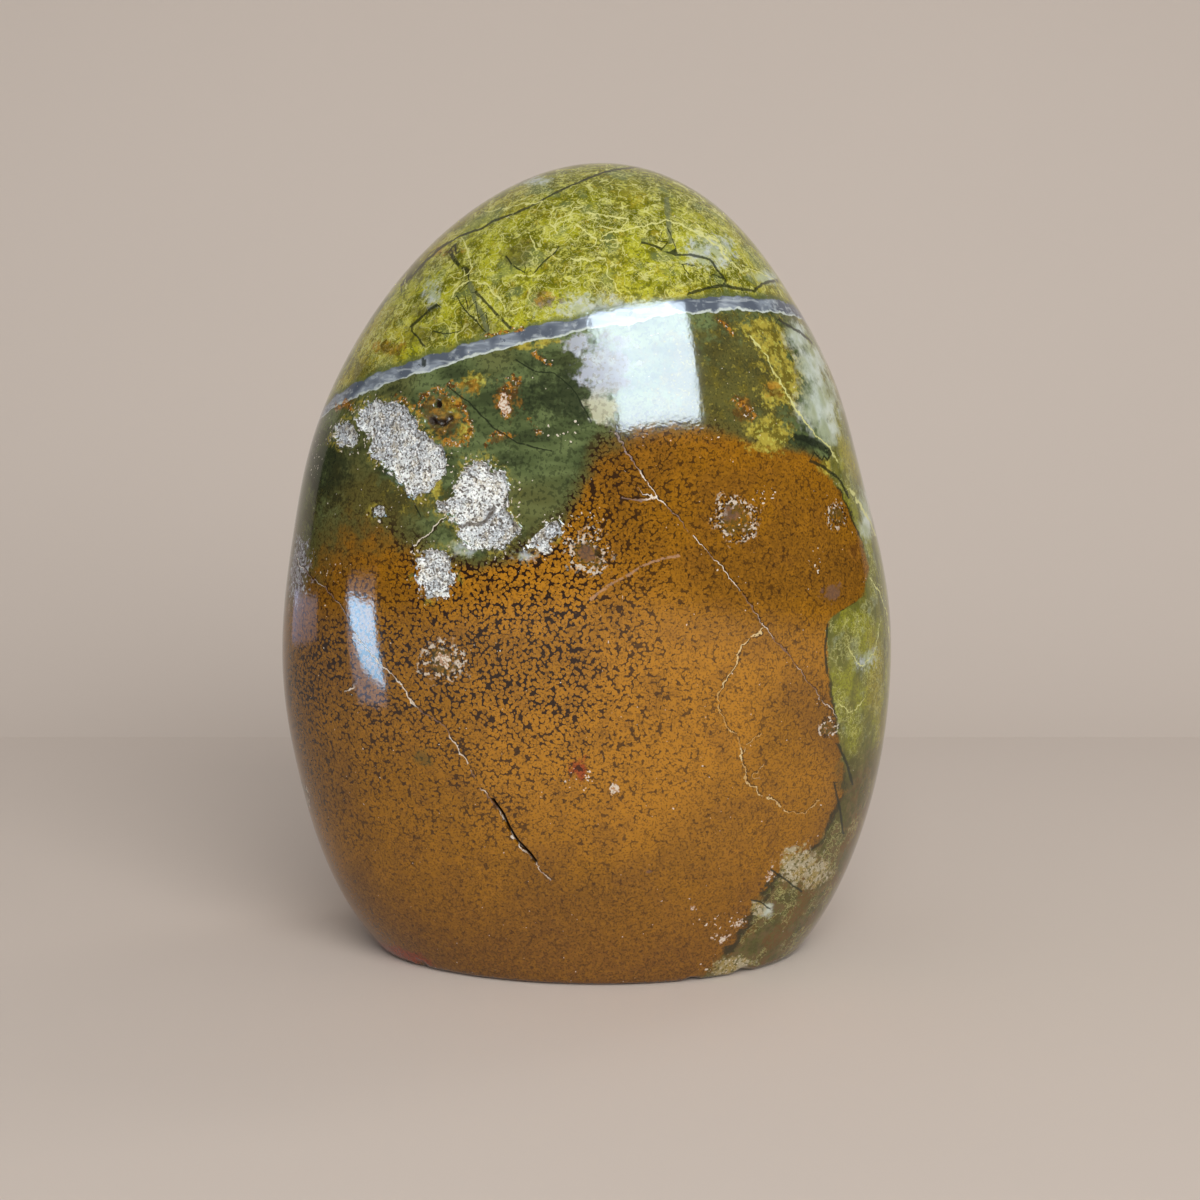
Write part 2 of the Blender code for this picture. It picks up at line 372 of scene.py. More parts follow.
# lines in the stone, by face: half width, then across and up along the line
seams = {
    "white": {    # cracks with a pale filling
        "front": (
            (0.13, ((5, 101.5), (7, 98), (9.5, 94.5), (12, 90.5), (14, 88.5))),
            (0.1, ((14, 88.5), (16, 86.5), (20, 82), (23, 78.5), (26, 75), (31.5, 67), (36, 61.5),
                   (40, 56), (45, 49.5))),
            (0.12, ((-49, 73.5), (-46, 72), (-43, 69), (-41.5, 65.5), (-38.5, 62), (-35.5, 59),
                    (-33.5, 57.5), (-31.5, 54.5), (-30, 52.5))),
            (0.15, ((-30, 52.5), (-25.5, 50), (-23, 46), (-21, 43), (-19, 38.5), (-17, 36),
                    (-15.5, 34), (-13, 29), (-11, 26.5), (-6.5, 21))),
            (0.12, ((-24.5, 86.5), (-27, 84), (-30, 81.5))),
            (0.15, ((-43, 54.5), (-41.5, 55.5), (-40.5, 57))),
            (0.2, ((6.5, 90), (10.5, 89.5), (12, 90.5))),
        ),
        "back": (
            (0.2, ((-30, 112), (-26, 104), (-18, 96), (-9, 88), (-4, 78), (2, 70), (6, 52),
                   (14, 38))),
            (0.17, ((30, 40), (22, 33), (17, 22), (8, 14))),
        ),
        "left": ((0.15, ((-24, 73.5), (-16, 77), (-8, 84), (2, 88), (9, 96))),),
        "right": ((0.18, ((-10, 112), (-4, 100), (2, 92), (6, 80), (14, 70), (18, 58))),),
    },
    "gold": {    # wandering seams, paler and thicker in places
        "front": (
            (0.14, ((31, 66.5), (27.5, 64), (25.5, 59.5), (23, 55.5), (23, 53), (24.5, 50),
                    (27, 47), (27.5, 43), (29, 38.5), (33.5, 35), (36.5, 32.5), (39.5, 32),
                    (42.5, 34))),
            (0.09, ((28, 46), (29.5, 46.5), (31, 47.5))),
            (0.09, ((29.5, 40.5), (30.5, 41), (31.5, 42))),
        ),
        "back": ((0.2, ((24, 84), (17, 76), (20, 66), (13, 58), (15, 50))),),
        "left": ((0.18, ((6, 44), (0, 38), (-4, 28), (2, 20))),),
    },
    "pale": {    # thin lines across the green cap and down the band
        "front": (
            (0.2, ((6, 136), (7.5, 136.5), (11, 137), (14.5, 138), (17.5, 137), (20.5, 135.5),
                   (22.5, 134), (25, 131.5), (27.5, 129))),
            (0.16, ((16, 145.5), (20, 143.5), (22, 141.5), (24.5, 139.5), (27, 137))),
            (0.14, ((19.5, 138), (21, 136.5), (23, 135), (25, 132.5))),
            (0.14, ((-6, 140.5), (-6, 139), (-5, 138), (-3, 139), (-2, 140))),
            (0.2, ((-1.5, 140.5), (0.5, 139.5), (3, 138.5), (5.5, 138.5), (8, 138), (9.5, 137))),
            (0.18, ((-1.5, 137), (0, 136), (2, 134.5))),
            (0.2, ((2, 134.5), (4, 135.5), (6, 136))),
            (0.14, ((-10, 136), (-10, 135), (-9, 133.5), (-8.5, 132.5))),
            (0.15, ((-6.5, 137.5), (-5.5, 136.5), (-5, 135.5))),
            (0.16, ((-19.5, 127), (-17, 126.5), (-16, 125), (-14.5, 124), (-14.5, 122.5),
                    (-13.5, 122), (-11, 122.5))),
            (0.2, ((-2.5, 131), (-1, 130.5), (0, 131), (1.5, 130.5), (3, 131.5), (2.5, 133.5))),
            (0.14, ((3, 133.5), (3.5, 130.5), (4, 128), (5, 126.5), (6, 125))),
            (0.16, ((-12.5, 128), (-10.5, 128), (-9, 128.5))),
            (0.16, ((-19, 140), (-16, 140), (-13.5, 140.5), (-11, 141), (-8, 141.5))),
            (0.17, ((-23.5, 124.5), (-23, 126), (-20.5, 127.5))),
            (0.17, ((-22.5, 135), (-21, 133), (-20.5, 131), (-20, 129))),
            (0.19, ((29, 117.5), (30.5, 116), (32, 114), (33, 111.5), (34, 110), (35.5, 107.5),
                    (37.5, 104.5), (39, 102.5), (41, 100), (43.5, 98), (45.5, 95))),
            (0.12, ((45.5, 52), (48, 49.5), (51, 52.5))),
            (0.11, ((47, 62), (50, 58), (52.5, 60), (54, 66))),
            (0.14, ((52, 73.5), (54, 70.5), (56, 65.5), (56.5, 61))),
            (0.3, ((48, 90), (50, 87), (53, 82), (54, 80.5))),
        ),
        "back": (
            (0.2, ((-30, 118), (-18, 124), (-2, 128), (14, 126), (30, 118))),
            (0.2, ((-8, 146), (-2, 134), (6, 128), (10, 112))),
        ),
        "right": (
            (0.16, ((-12, 52), (-4, 46), (2, 48), (10, 40), (16, 42))),
            (0.14, ((2, 48), (4, 56), (0, 64), (2, 72))),
            (0.18, ((-20, 130), (-8, 126), (0, 128), (12, 122))),
        ),
        "left": (
            (0.18, ((-16, 126), (-6, 130), (4, 126), (12, 128))),
            (0.14, ((-6, 130), (-2, 120), (4, 114))),
        ),
    },
    "dark": {    # dark fillings
        "front": (
            (0.4, ((-34, 126.5), (-31.5, 128.5), (-29, 131), (-27, 133), (-24.5, 134.5))),
            (0.26, ((-24.5, 134.5), (-22.5, 135.5), (-19, 136.5), (-16.5, 138), (-13.5, 139),
                    (-10, 140.5), (-4.5, 143.5), (3, 147), (10, 148.5))),
            (0.6, ((-24.5, 132.5), (-23, 130.5), (-21, 129))),
            (0.28, ((-21, 129), (-20.5, 127))),
            (0.36, ((-19.5, 125.5), (-17, 123), (-15, 121), (-13, 119))),
            (0.2, ((-23, 125), (-21.5, 122.5), (-20, 121), (-17.5, 118.5))),
            (0.4, ((-26.5, 123), (-28.5, 121.5), (-31.5, 119))),
            (0.26, ((-31.5, 119), (-30, 117.5), (-28.5, 116))),
            (0.14, ((-27, 118.5), (-24.5, 118), (-22, 118.5))),
            (0.18, ((-14, 131.5), (-12.5, 129.5), (-10.5, 128.5))),
            (0.14, ((-4.5, 133.5), (-6, 131.5), (-7.5, 130.5), (-9, 128.5))),
            (0.34, ((9.5, 134), (11.5, 133.5), (13, 133), (14, 132.5), (16, 131.5))),
            (0.3, ((16, 131.5), (18, 132), (20, 131.5), (22, 131), (23.5, 129), (24.5, 127.5))),
            (0.16, ((14.5, 136.5), (15, 135.5), (16, 132.5), (17, 130), (18, 128.5))),
            (0.38, ((18, 125), (21.5, 126), (24, 126.5), (27, 126), (30, 125.5), (32, 127),
                    (35, 127.5))),
            (0.18, ((-12, 113.5), (-8.5, 111.5), (-5.5, 111.5), (-2, 108.5), (1, 103))),
            (0.18, ((-24, 109), (-20, 106), (-16, 102), (-12, 99.5), (-6, 98))),
            (0.2, ((-30.5, 89.5), (-29, 86.5))),
            (0.26, ((33.5, 21.5), (36.5, 19), (39.5, 16))),
            (0.2, ((30, 16), (32, 15), (33.5, 13.5))),
            (0.9, ((36.5, 100), (39, 99.5), (42, 98), (44, 96.5))),
            (0.55, ((-28.5, 113.5), (-28.5, 112.5))),
            (0.35, ((40, 95.5), (43, 94), (46, 91.5), (47.5, 88.5))),
            (0.35, ((34.5, 120.5), (36, 119.5), (39, 118), (41.5, 116))),
            (0.3, ((43, 66.5), (42.5, 63), (43, 58))),
            (0.4, ((45.5, 44.5), (47.5, 40), (49, 35.5))),
            (0.3, ((45, 37), (46.5, 31.5), (47.5, 26))),
        ),
        "back": (
            (0.3, ((-22, 140), (-14, 131), (0, 126), (16, 129))),
            (0.3, ((-36, 96), (-24, 90), (-12, 92), (4, 84))),
        ),
        "right": ((0.3, ((24, 104), (16, 96), (12, 84), (14, 74))),),
        "left": ((0.3, ((-10, 124), (-2, 118), (8, 116))),),
    },
    "rust": {    # fringes of iron stain
        "front": (
            (0.75, ((-29.5, 102.5), (-29.5, 105), (-28.5, 107), (-26, 108.5), (-23.5, 107.5),
                    (-22, 105.5))),
            (0.8, ((-22, 106), (-20.5, 104), (-20, 102), (-21, 99.5), (-23, 99), (-24.5, 99.5))),
            (0.8, ((-29.5, 102), (-29, 100), (-27, 99))),
            (0.9, ((-33.5, 107), (-32, 106.5), (-30.5, 104.5))),
            (1.3, ((-14, 103.5), (-14, 106), (-14, 108), (-12.5, 110), (-12, 111))),
            (0.7, ((-17.5, 99), (-15.5, 101), (-13, 100.5))),
            (0.55, ((-10, 103.5), (-9, 102), (-8, 101))),
            (0.7, ((-9, 115), (-7.5, 113.5), (-6, 113))),
            (0.6, ((-24, 109.5), (-22.5, 109))),
            (0.45, ((-17.5, 118), (-14, 118.5), (-11, 119))),
            (0.9, ((26, 107), (28, 105), (29.5, 103.5))),
            (0.5, ((23, 120.5), (25, 119), (26, 118.5))),
            (0.8, ((-45.5, 104.5), (-43.5, 105.5), (-42, 104.5))),
        ),
        "back": (
            (0.8, ((8, 108), (12, 110), (15, 107))),
            (0.7, ((-22, 84), (-24, 80), (-20, 78))),
        ),
        "right": ((0.7, ((8, 60), (11, 62), (12, 65))),),
    },
    "haze": {    # thin milky streaks
        "front": ((0.32, ((1, 72.5), (4.5, 75), (8, 77), (11.5, 79), (16, 80))),),
        "back": ((0.6, ((-6, 62), (4, 66), (16, 66))),),
    },
    "ledge": {    # the shadow under the crystal plate
        "front": ((0.5, ((-21.5, 85), (-19.5, 85), (-17.5, 86), (-16, 88))),),
    },
    "smoke": {    # grey-green bands
        "front": (
            (0.6, ((-20.5, 127), (-19.5, 124), (-18, 121), (-17, 118.5))),
            (0.7, ((14.5, 142), (14.5, 138.5), (15, 134))),
        ),
        "back": ((0.7, ((20, 136), (14, 128), (16, 118))),),
        "left": ((0.7, ((4, 134), (8, 124), (6, 114))),),
    },
}

# clouds of one colour, by face: across, up, half width, half height
clouds = {
    "gold": {
        "front": (
            (-19.5, 109.5, 2.6, 1.8), (-23.5, 105, 1.8, 2.2), (-21, 101.5, 1.6, 1.8),
            (31, 119, 4.6, 2.4), (33.5, 115, 3.2, 4.4), (36, 110, 3.4, 5.0), (32, 100.5, 5.0, 3.4),
            (33, 107, 3.0, 2.4), (-26, 92, 1.2, 3.4), (43.5, 94.5, 2.4, 1.8),
            (-35.5, 115, 6.0, 2.4), (-31, 119, 2.0, 1.4), (-19.5, 135, 4.0, 1.6),
            (-11, 116, 3.4, 0.9), (-7, 117, 3.0, 0.8)),
        "back": ((20, 92, 5.0, 4.0), (-14, 104, 7.0, 2.4)),
        "right": ((10, 88, 8.0, 5.0),),
    },
    "honey": {    # iron-stained patches
        "front": (
            (-35.5, 115.5, 3.6, 1.6), (-26, 132.5, 3.6, 1.0), (-20, 109, 2.4, 1.4),
            (-25, 103.5, 4.6, 4.6), (-13.5, 107, 2.4, 3.8), (33, 108, 2.2, 2.0),
            (27.5, 105, 2.2, 2.4), (48.5, 79, 2.0, 2.2), (-44, 105.5, 3.0, 1.4),
            (-15, 100, 3.2, 0.9), (-7, 124, 3.4, 1.8)),
        "back": ((12, 108, 4.0, 2.0),),
        "right": ((10, 62, 4.0, 3.0),),
        "left": ((-4, 108, 4.0, 3.0),),
    },
    "pale": {
        "front": (
            (38.5, 117.5, 3.0, 2.6), (41, 112.5, 3.4, 5.0), (42, 105.5, 4.4, 6.0),
            (43.5, 100.5, 2.6, 3.2), (51.5, 84.5, 1.8, 5.0), (32.5, 128, 3.0, 1.4),
            (33, 13.5, 1.6, 1.6)),
        "back": ((30, 104, 7.0, 5.0), (-36, 20, 5.0, 7.0)),
    },
    "frost": {    # thin pale film that the green shows through
        "front": (
            (2, 122.5, 11.0, 3.0), (-27.5, 125, 2.2, 4.0), (-9, 145.5, 4.0, 1.4),
            (-21.5, 81, 2.8, 1.6), (-10.5, 80, 2.6, 1.6), (22, 132.5, 7.0, 4.0),
            (51, 59, 3.0, 2.4)),
        "right": ((-6, 84, 5.0, 9.0), (14, 50, 6.0, 8.0)),
        "back": ((-30, 128, 5.0, 4.0),),
        "left": ((6, 122, 6.0, 5.0),),
    },
    "mist": {    # unpolished lilac and beige opal in the window's reflection
        "front": ((-1.5, 116.5, 2.6, 1.8), (3.2, 112.4, 4.9, 5.6), (3, 105.4, 3.0, 2.8)),
    },
    "crust": {    # pale crust low on the right, pitted with brown
        "front": (
            (38.5, 21.5, 4.0, 4.4), (42, 19.5, 3.6, 3.6), (27, 2, 4.0, 2.6), (31.5, 14, 1.8, 1.6)),
        "back": ((-20, 6, 8.0, 4.0),),
    },
    "dark": {
        "front": (
            (39.5, 99, 3.4, 1.4), (-1.5, 123.5, 2.4, 1.4), (11, 125.5, 2.6, 1.3),
            (31, 8, 3.0, 2.5), (-2, 108, 10.0, 6.0), (-47, 94, 7.0, 8.0)),
        "back": ((6, 100, 14.0, 6.0), (-30, 92, 10.0, 7.0)),
        "left": ((4, 96, 14.0, 6.0),),
    },
    "shade": {    # soft brown-green shadows in the cap, the band and the brown
        "front": (
            (-41, 111.5, 4.0, 2.6), (-29.5, 118, 3.4, 2.4), (-29, 122, 3.4, 1.6),
            (-32, 129.5, 4.0, 3.0), (-18, 119, 4.0, 1.6), (30, 124, 6.0, 1.2),
            (-28.5, 43, 2.4, 1.8), (-12, 132, 4.0, 3.0), (48, 38, 3.4, 6.0)),
        "right": ((-4, 36, 14.0, 7.0), (16, 96, 6.0, 8.0)),
        "left": ((12, 68, 9.0, 5.0),),
        "back": ((24, 66, 4.0, 12.0),),
    },
    "olive": {
        "front": ((26, 110, 16.0, 14.0), (-36, 89, 14.0, 4.0)),
        "back": ((-20, 104, 18.0, 8.0),),
    },
    "lilac": {"left": ((-17, 75, 5.0, 6.0),)},
    "brick": {
        "front": ((-35, 2.0, 8.0, 2.2), (-1.5, 42, 2.4, 3.0)),
        "back": ((-4, 30, 8.0, 5.0), (20, 60, 4.0, 4.0)),
    },
    "ochre": {
        "front": ((6, 50, 46.0, 40.0), (22, 48, 17.0, 20.0), (-6, 72, 26.0, 16.0)),
        "back": ((-6, 54, 40.0, 30.0),),
        "left": ((4, 40, 22.0, 18.0),),
    },
    "plum": {
        "front": (
            (44, 72, 2.2, 1.8), (0.5, 80.5, 1.9, 1.8), (11.5, 23, 1.0, 0.8), (25, 87, 1.8, 1.6)),
        "back": ((-14, 56, 2.2, 2.0),),
    },
    "cream": {
        "front": (
            (-25, 61.3, 1.3, 1.5), (-14, 105.5, 1.0, 2.2), (5, 38.5, 0.9, 1.2),
            (12, 90.5, 1.3, 0.7), (11.5, 23.5, 0.9, 0.5), (33.5, 20.5, 0.9, 1.6),
            (24.5, 8.5, 2.4, 0.8), (27.5, 11.5, 1.2, 0.7), (19.5, 15, 1.2, 0.7)),
        "back": ((14, 44, 1.6, 1.4),),
        "left": ((2, 50, 1.3, 1.6),),
    },
    "flecks": {    # loose scatterings of tiny pale grains and painted glints
        "front": (
            (26, 12, 6.0, 3.0), (24, 3, 6.0, 2.0), (-1, 40, 4.0, 3.0), (-4, 101.5, 6.0, 3.0),
            (1, 87, 5.0, 2.4), (22, 101, 3.0, 1.6), (28, 104.5, 2.4, 2.0), (-46, 76, 4.0, 3.0),
            (43.5, 47.5, 2.4, 3.0), (27.5, 84, 3.4, 3.0), (41, 78, 2.4, 3.0), (-42, 64, 3.0, 2.0),
            (31, 90, 4.0, 3.0), (-50, 96, 3.0, 6.0)),
        "back": ((6, 76, 9.0, 5.0),),
        "left": ((-6, 60, 6.0, 4.0),),
    },
    "ring": {    # spots with a gritty ring
        "front": (
            (-25, 61, 4.2, 4.2), (0.3, 80.5, 4.4, 4.4), (26, 86, 4.6, 4.6), (45, 85.5, 2.4, 2.4),
            (43.5, 48, 2.2, 2.2)),
        "left": ((2, 50, 4.4, 4.4), (-12, 32, 3.0, 3.0)),
        "back": ((-14, 56, 4.8, 4.8), (18, 30, 3.4, 3.4)),
    },
}


def onFace(points, side):    # what one side shows of each point: across and up, and whether
    across, outwards = {"front": (0, -points[:, 1]), "back": (0, points[:, 1]),
                        "right": (1, points[:, 0]), "left": (1, -points[:, 0])}[side]
    return points[:, (across, 2)], outwards > 0


def bestSeam(points, lines):    # the nearest line's signed offset, nearness and half width
    offsets = np.full(len(points), 5.0)
    nearness = np.zeros(len(points))
    widths = np.full(len(points), 0.2)
    reach, taper = 3.0, 0.8
    for side, entries in lines.items():
        flat, facing = onFace(points, side)
        for width, line in entries:
            distance, offset, beyond = alongLine(flat, line)
            near = np.clip(1 - distance / reach, 0, 1) * np.clip(1 - beyond / taper, 0, 1)
            closer = near * facing > nearness
            offsets = np.where(closer, offset, offsets)
            widths = np.where(closer, width, widths)
            nearness = np.where(closer, near, nearness)
    return offsets, nearness, widths


def cloudField(points, blobs):    # 1 in the middle of a cloud, 0 at its edge
    field = np.full(len(points), -1.0)
    for side, entries in blobs.items():
        flat, facing = onFace(points, side)
        for across, up, halfWidth, halfHeight in entries:
            away = np.hypot((flat[:, 0] - across) / halfWidth, (flat[:, 1] - up) / halfHeight)
            field = np.maximum(field, np.where(facing, np.clip(1 - away, -1, 1), -1.0))
    return field


def markStone(mesh, points, inside, holes):    # what the material has to know of each point
    x, y, z = points.T
    sheet = veinSheet["height"] + veinSheet["slopeX"] * x + veinSheet["bow"] * x**2
    edge = np.interp(x, brownEdge["x"], brownEdge["z"])
    rise = edge + brownEdge["tip"] * (y - brownEdge["front"]) - z
    start = np.interp(z, greenBand["z"], greenBand["x"])
    behind = np.interp(z, greenBand["z"], greenBand["behind"])
    turnFrom, turnOver = greenBand["turn"]
    start = start + (behind - start) * ramp(y - turnFrom, turnOver)
    wrapped = greenBand["wrap"] * np.maximum(y - greenBand["front"], 0)
    # the jasper's dark grains lie densest in the upper middle, and thin out to the foot, to
    # the right and, at the far left, along its upper edge
    lower = np.clip((z - 4 + 0.5 * np.minimum(x, 0)) / 26, 0.25, 1.0)
    middle = np.clip((z - 6) / 48, 0.0, 1.0) * np.clip(0.95 - x / 46, 0.35, 1.0)
    middle = np.where(x < -12, np.maximum(middle, 0.76 * lower), middle)
    faint = np.maximum(np.clip((x + 44) / 14, 0, 1), np.clip(0.3 + rise / 22, 0.3, 1))
    fields = {
        "capRise": z - sheet - veinSheet["slopeY"] * y,
        "brownRise": rise / np.interp(x, brownEdge["x"], brownEdge["soft"]),
        "bandReach": (x - start + wrapped) / np.interp(z, *greenBand["blend"]),
        "crystalReach": np.clip(inside, -6, 6),
        "hole": holes,
        "speckle": middle * faint,
        "height": z,
    }
    for name, lines in seams.items():
        fields.update(zip((name + "Offset", name + "Nearness", name + "Width"),
                          bestSeam(points, lines)))
    for name, blobs in clouds.items():
        fields[name + "Cloud"] = cloudField(points, blobs)
    writeMarks(mesh, fields)
    return tuple(fields)


def writeMarks(mesh, fields):    # three marks to a vector, which renders faster
    names = tuple(fields)
    for start in range(0, len(names), 3):
        values = np.zeros((len(mesh.vertices), 3))
        for column, name in enumerate(names[start:start + 3]):
            values[:, column] = fields[name]
        attribute = mesh.attributes.new("marks%d" % (start // 3), "FLOAT_VECTOR", "POINT")
        attribute.data.foreach_set("vector", values.ravel())


def makeStone():
    body = makeBall()
    for reach, finestOnly in stoneShape["refined"]:
        refine(body, reach, finestOnly)
    sawFoot(body)
    surface = readPoints(body.data)
    inside, holes = carve(body)
    names = markStone(body.data, surface, inside, holes)
    writePoints(body.data, readPoints(body.data) * mm)
    bpy.ops.object.mode_set(mode="EDIT")
    bpy.ops.mesh.select_all(action="SELECT")
    bpy.ops.mesh.normals_make_consistent(inside=False)
    bpy.ops.object.mode_set(mode="OBJECT")
    bpy.ops.object.shade_smooth_by_angle(angle=math.radians(stoneShape["creaseAngle"]))
    body.data.calc_loop_triangles()
    print("stone modelled:", len(body.data.loop_triangles), "triangles")
    return body, names


# shader helpers

def feed(tree, value, socket):
    if isinstance(value, bpy.types.NodeSocket):
        tree.links.new(value, socket)
    elif socket.type == "RGBA" and len(value) == 3:
        socket.default_value = (*value, 1.0)
    else:
        socket.default_value = value


def addNode(tree, kind, feeds, **settings):
    made = tree.nodes.new("ShaderNode" + kind)
    for name, value in settings.items():
        setattr(made, name, value)
    for socket, value in feeds.items():
        feed(tree, value, made.inputs[socket])
    return made


def calc(tree, operation, first, second=0.0):
    return addNode(tree, "Math", {0: first, 1: second}, operation=operation).outputs[0]


def plus(tree, total, *others):
    for other in others:
        total = calc(tree, "ADD", total, other)
    return total


def times(tree, total, *others):
    for other in others:
        total = calc(tree, "MULTIPLY", total, other)
    return total


def swing(tree, noiseValue, size):    # a noise that swings this far in all, about zero
    return times(tree, calc(tree, "SUBTRACT", noiseValue, 0.5), size)


def awayFrom(tree, value, middle):
    return calc(tree, "ABSOLUTE", calc(tree, "SUBTRACT", value, middle))


def fade(tree, value, low, high):    # smooth step from 0 at low to 1 at high
    return addNode(tree, "MapRange", {0: value, 1: low, 2: high},
                   interpolation_type="SMOOTHSTEP").outputs[0]


def cloudy(tree, place, size, detail, rough=0.5):
    feeds = {"Vector": place, "Scale": 1 / size, "Detail": detail, "Roughness": rough,
             "Distortion": 0.0}
    return addNode(tree, "TexNoise", feeds).outputs["Fac"]


def tint(tree, factor, under, over):
    return addNode(tree, "Mix", {0: factor, 6: under, 7: over}, data_type="RGBA").outputs[2]


def readMarks(tree, names):    # the socket of each mark
    sockets = {}
    for start in range(0, len(names), 3):
        vector = addNode(tree, "Attribute", {}, attribute_name="marks%d" % (start // 3))
        parts = addNode(tree, "SeparateXYZ", {0: vector.outputs["Vector"]}).outputs
        sockets.update(zip(names[start:start + 3], parts))
    return sockets


def startGroup(name, inputs, outputs):
    tree = bpy.data.node_groups.new(name, "ShaderNodeTree")
    kinds = {"vector": "NodeSocketVector", "colour": "NodeSocketColor"}
    for side, sockets in (("INPUT", inputs), ("OUTPUT", outputs)):
        for title, kind in sockets.items():
            tree.interface.new_socket(title, in_out=side,
                                      socket_type=kinds.get(kind, "NodeSocketFloat"))
    start = tree.nodes.new("NodeGroupInput").outputs
    end = tree.nodes.new("NodeGroupOutput").inputs
    return tree, start, end


def useGroup(tree, group, feeds):
    made = tree.nodes.new("ShaderNodeGroup")
    made.node_tree = group
    for socket, value in feeds.items():
        feed(tree, value, made.inputs[socket])
    return made


def startMaterial(name, roughness):
    material = bpy.data.materials.new(name)
    material.use_nodes = True
    shader = material.node_tree.nodes["Principled BSDF"]
    shader.inputs["Roughness"].default_value = roughness
    return material, material.node_tree, shader.inputs


def makeRaggedEdge():    # a mask from a distance, its border pushed in and out by a noise
    inputs = {"Distance": "", "Noise": "", "Ragged": "", "Softness": ""}
    tree, start, end = startGroup("raggedEdge", inputs, {"Mask": ""})
    shifted = plus(tree, start["Distance"], swing(tree, start["Noise"], start["Ragged"]))
    low = times(tree, start["Softness"], -1.0)
    feed(tree, fade(tree, shifted, low, start["Softness"]), end["Mask"])
    return tree


def makeSpecks():    # dark gaps between rounded grains, over a share of the surface
    inputs = {"Place": "vector", "Size": "", "Cover": "", "Softness": ""}
    tree, start, end = startGroup("specks", inputs, {"Mask": ""})
    scale = calc(tree, "DIVIDE", 1.0, start["Size"])
    away = addNode(tree, "TexVoronoi", {"Vector": start["Place"], "Scale": scale},
                   feature="F1").outputs["Distance"]
    low = calc(tree, "SUBTRACT", 0.80, times(tree, start["Cover"], 0.44))
    feed(tree, fade(tree, away, low, plus(tree, low, start["Softness"])), end["Mask"])
    return tree


def makeSeamLine():    # a crack or seam along a marked line, with its shadow on one side
    inputs = {"Offset": "", "Nearness": "", "Width": "", "Sway": "", "Swell": "", "Wobble": "",
              "Keep": ""}
    tree, start, end = startGroup("seamLine", inputs, {"Mask": "", "Shadow": ""})
    offset = plus(tree, start["Offset"], swing(tree, start["Sway"], start["Wobble"]))
    width = times(tree, start["Width"], plus(tree, 0.2, times(tree, start["Swell"], 1.6)))
    near = times(tree, fade(tree, start["Nearness"], 0.35, 0.6), start["Keep"])
    line = fade(tree, calc(tree, "ABSOLUTE", offset), width, times(tree, width, 0.4))
    feed(tree, times(tree, line, near), end["Mask"])
    beside = awayFrom(tree, offset, times(tree, width, 1.7))
    shadow = fade(tree, beside, width, times(tree, width, 0.3))
    feed(tree, times(tree, shadow, near), end["Shadow"])
    return tree


# colours of the stone's parts, as linear red, green and blue
hues = {
    "ochre": (0.375, 0.160, 0.012),
    "amber": (0.235, 0.100, 0.006),
    "brown": (0.172, 0.074, 0.008),
    "russet": (0.135, 0.056, 0.012),
    "umber": (0.020, 0.010, 0.006),
    "olive": (0.100, 0.084, 0.022),
    "oliveBrown": (0.100, 0.088, 0.022),
    "forest": (0.070, 0.092, 0.034),
    "moss": (0.128, 0.162, 0.062),
    "ink": (0.014, 0.018, 0.010),
    "chartreuse": (0.32, 0.315, 0.016),
    "lemon": (0.54, 0.52, 0.10),
    "straw": (0.35, 0.27, 0.022),
    "oliveDeep": (0.105, 0.105, 0.005),
    "limeShade": (0.100, 0.102, 0.022),
    "greyGreen": (0.125, 0.080, 0.032),
    "veinGrey": (0.22, 0.25, 0.285),
    "veinDark": (0.085, 0.100, 0.125),
    "veinWhite": (0.44, 0.48, 0.49),
    "sugar": (0.72, 0.74, 0.71),
    "sugarTan": (0.36, 0.29, 0.17),
    "poreAndShadow": (0.060, 0.044, 0.030),
    "rust": (0.36, 0.155, 0.018),
    "rustDark": (0.090, 0.034, 0.008),
    "gold": (0.38, 0.31, 0.045),
    "goldShade": (0.14, 0.11, 0.014),
    "pale": (0.37, 0.41, 0.27),
    "milk": (0.58, 0.63, 0.56),
    "mist": (0.26, 0.26, 0.29),
    "beige": (0.34, 0.32, 0.19),
    "lilac": (0.27, 0.26, 0.30),
    "plum": (0.13, 0.075, 0.055),
    "bone": (0.66, 0.58, 0.47),
    "honey": (0.44, 0.26, 0.08),
    "seamGold": (0.64, 0.50, 0.25),
    "brick": (0.26, 0.036, 0.010),
    "crust": (0.38, 0.33, 0.21),
    "crustGold": (0.30, 0.22, 0.07),
    "lightMoss": (0.165, 0.155, 0.030),
    "blush": (0.40, 0.24, 0.15),
    # painted glints on the crystals
    "sugarGlint": (0.86, 0.86, 0.84),
    "sugarGrey": (0.36, 0.38, 0.39),
    "smoke": (0.105, 0.120, 0.065),
    "thread": (0.60, 0.58, 0.22),
    "umberGreen": (0.066, 0.056, 0.016),
}


# how each marked cloud is broken up: share of fine grain, where it starts and where it is full
cloudLooks = {
    "olive": (0.5, -0.1, 0.5), "brick": (0.8, 0.0, 0.6), "dark": (1.0, -0.1, 0.6),
    "gold": (1.2, -0.1, 0.5), "pale": (0.4, -0.3, 0.7), "frost": (1.6, 0.0, 0.9),
    "mist": (0.4, -0.1, 0.35), "crust": (1.0, -0.05, 0.4), "honey": (1.4, 0.0, 0.6),
    "shade": (0.8, -0.1, 0.7), "lilac": (1.5, -0.1, 0.35), "plum": (1.4, 0.0, 0.5),
    "cream": (2.0, 0.1, 0.4),
}

# how far each kind of seam wobbles off its line, and how much of it is left out
seamLooks = {
    "haze": (1.2, 0.30), "smoke": (1.0, 0.30), "rust": (3.2, 0.30), "dark": (0.7, 0.30),
    "pale": (1.8, 0.36), "gold": (2.6, 0.36), "white": (2.0, 0.34), "ledge": (1.6, 0.20),
}

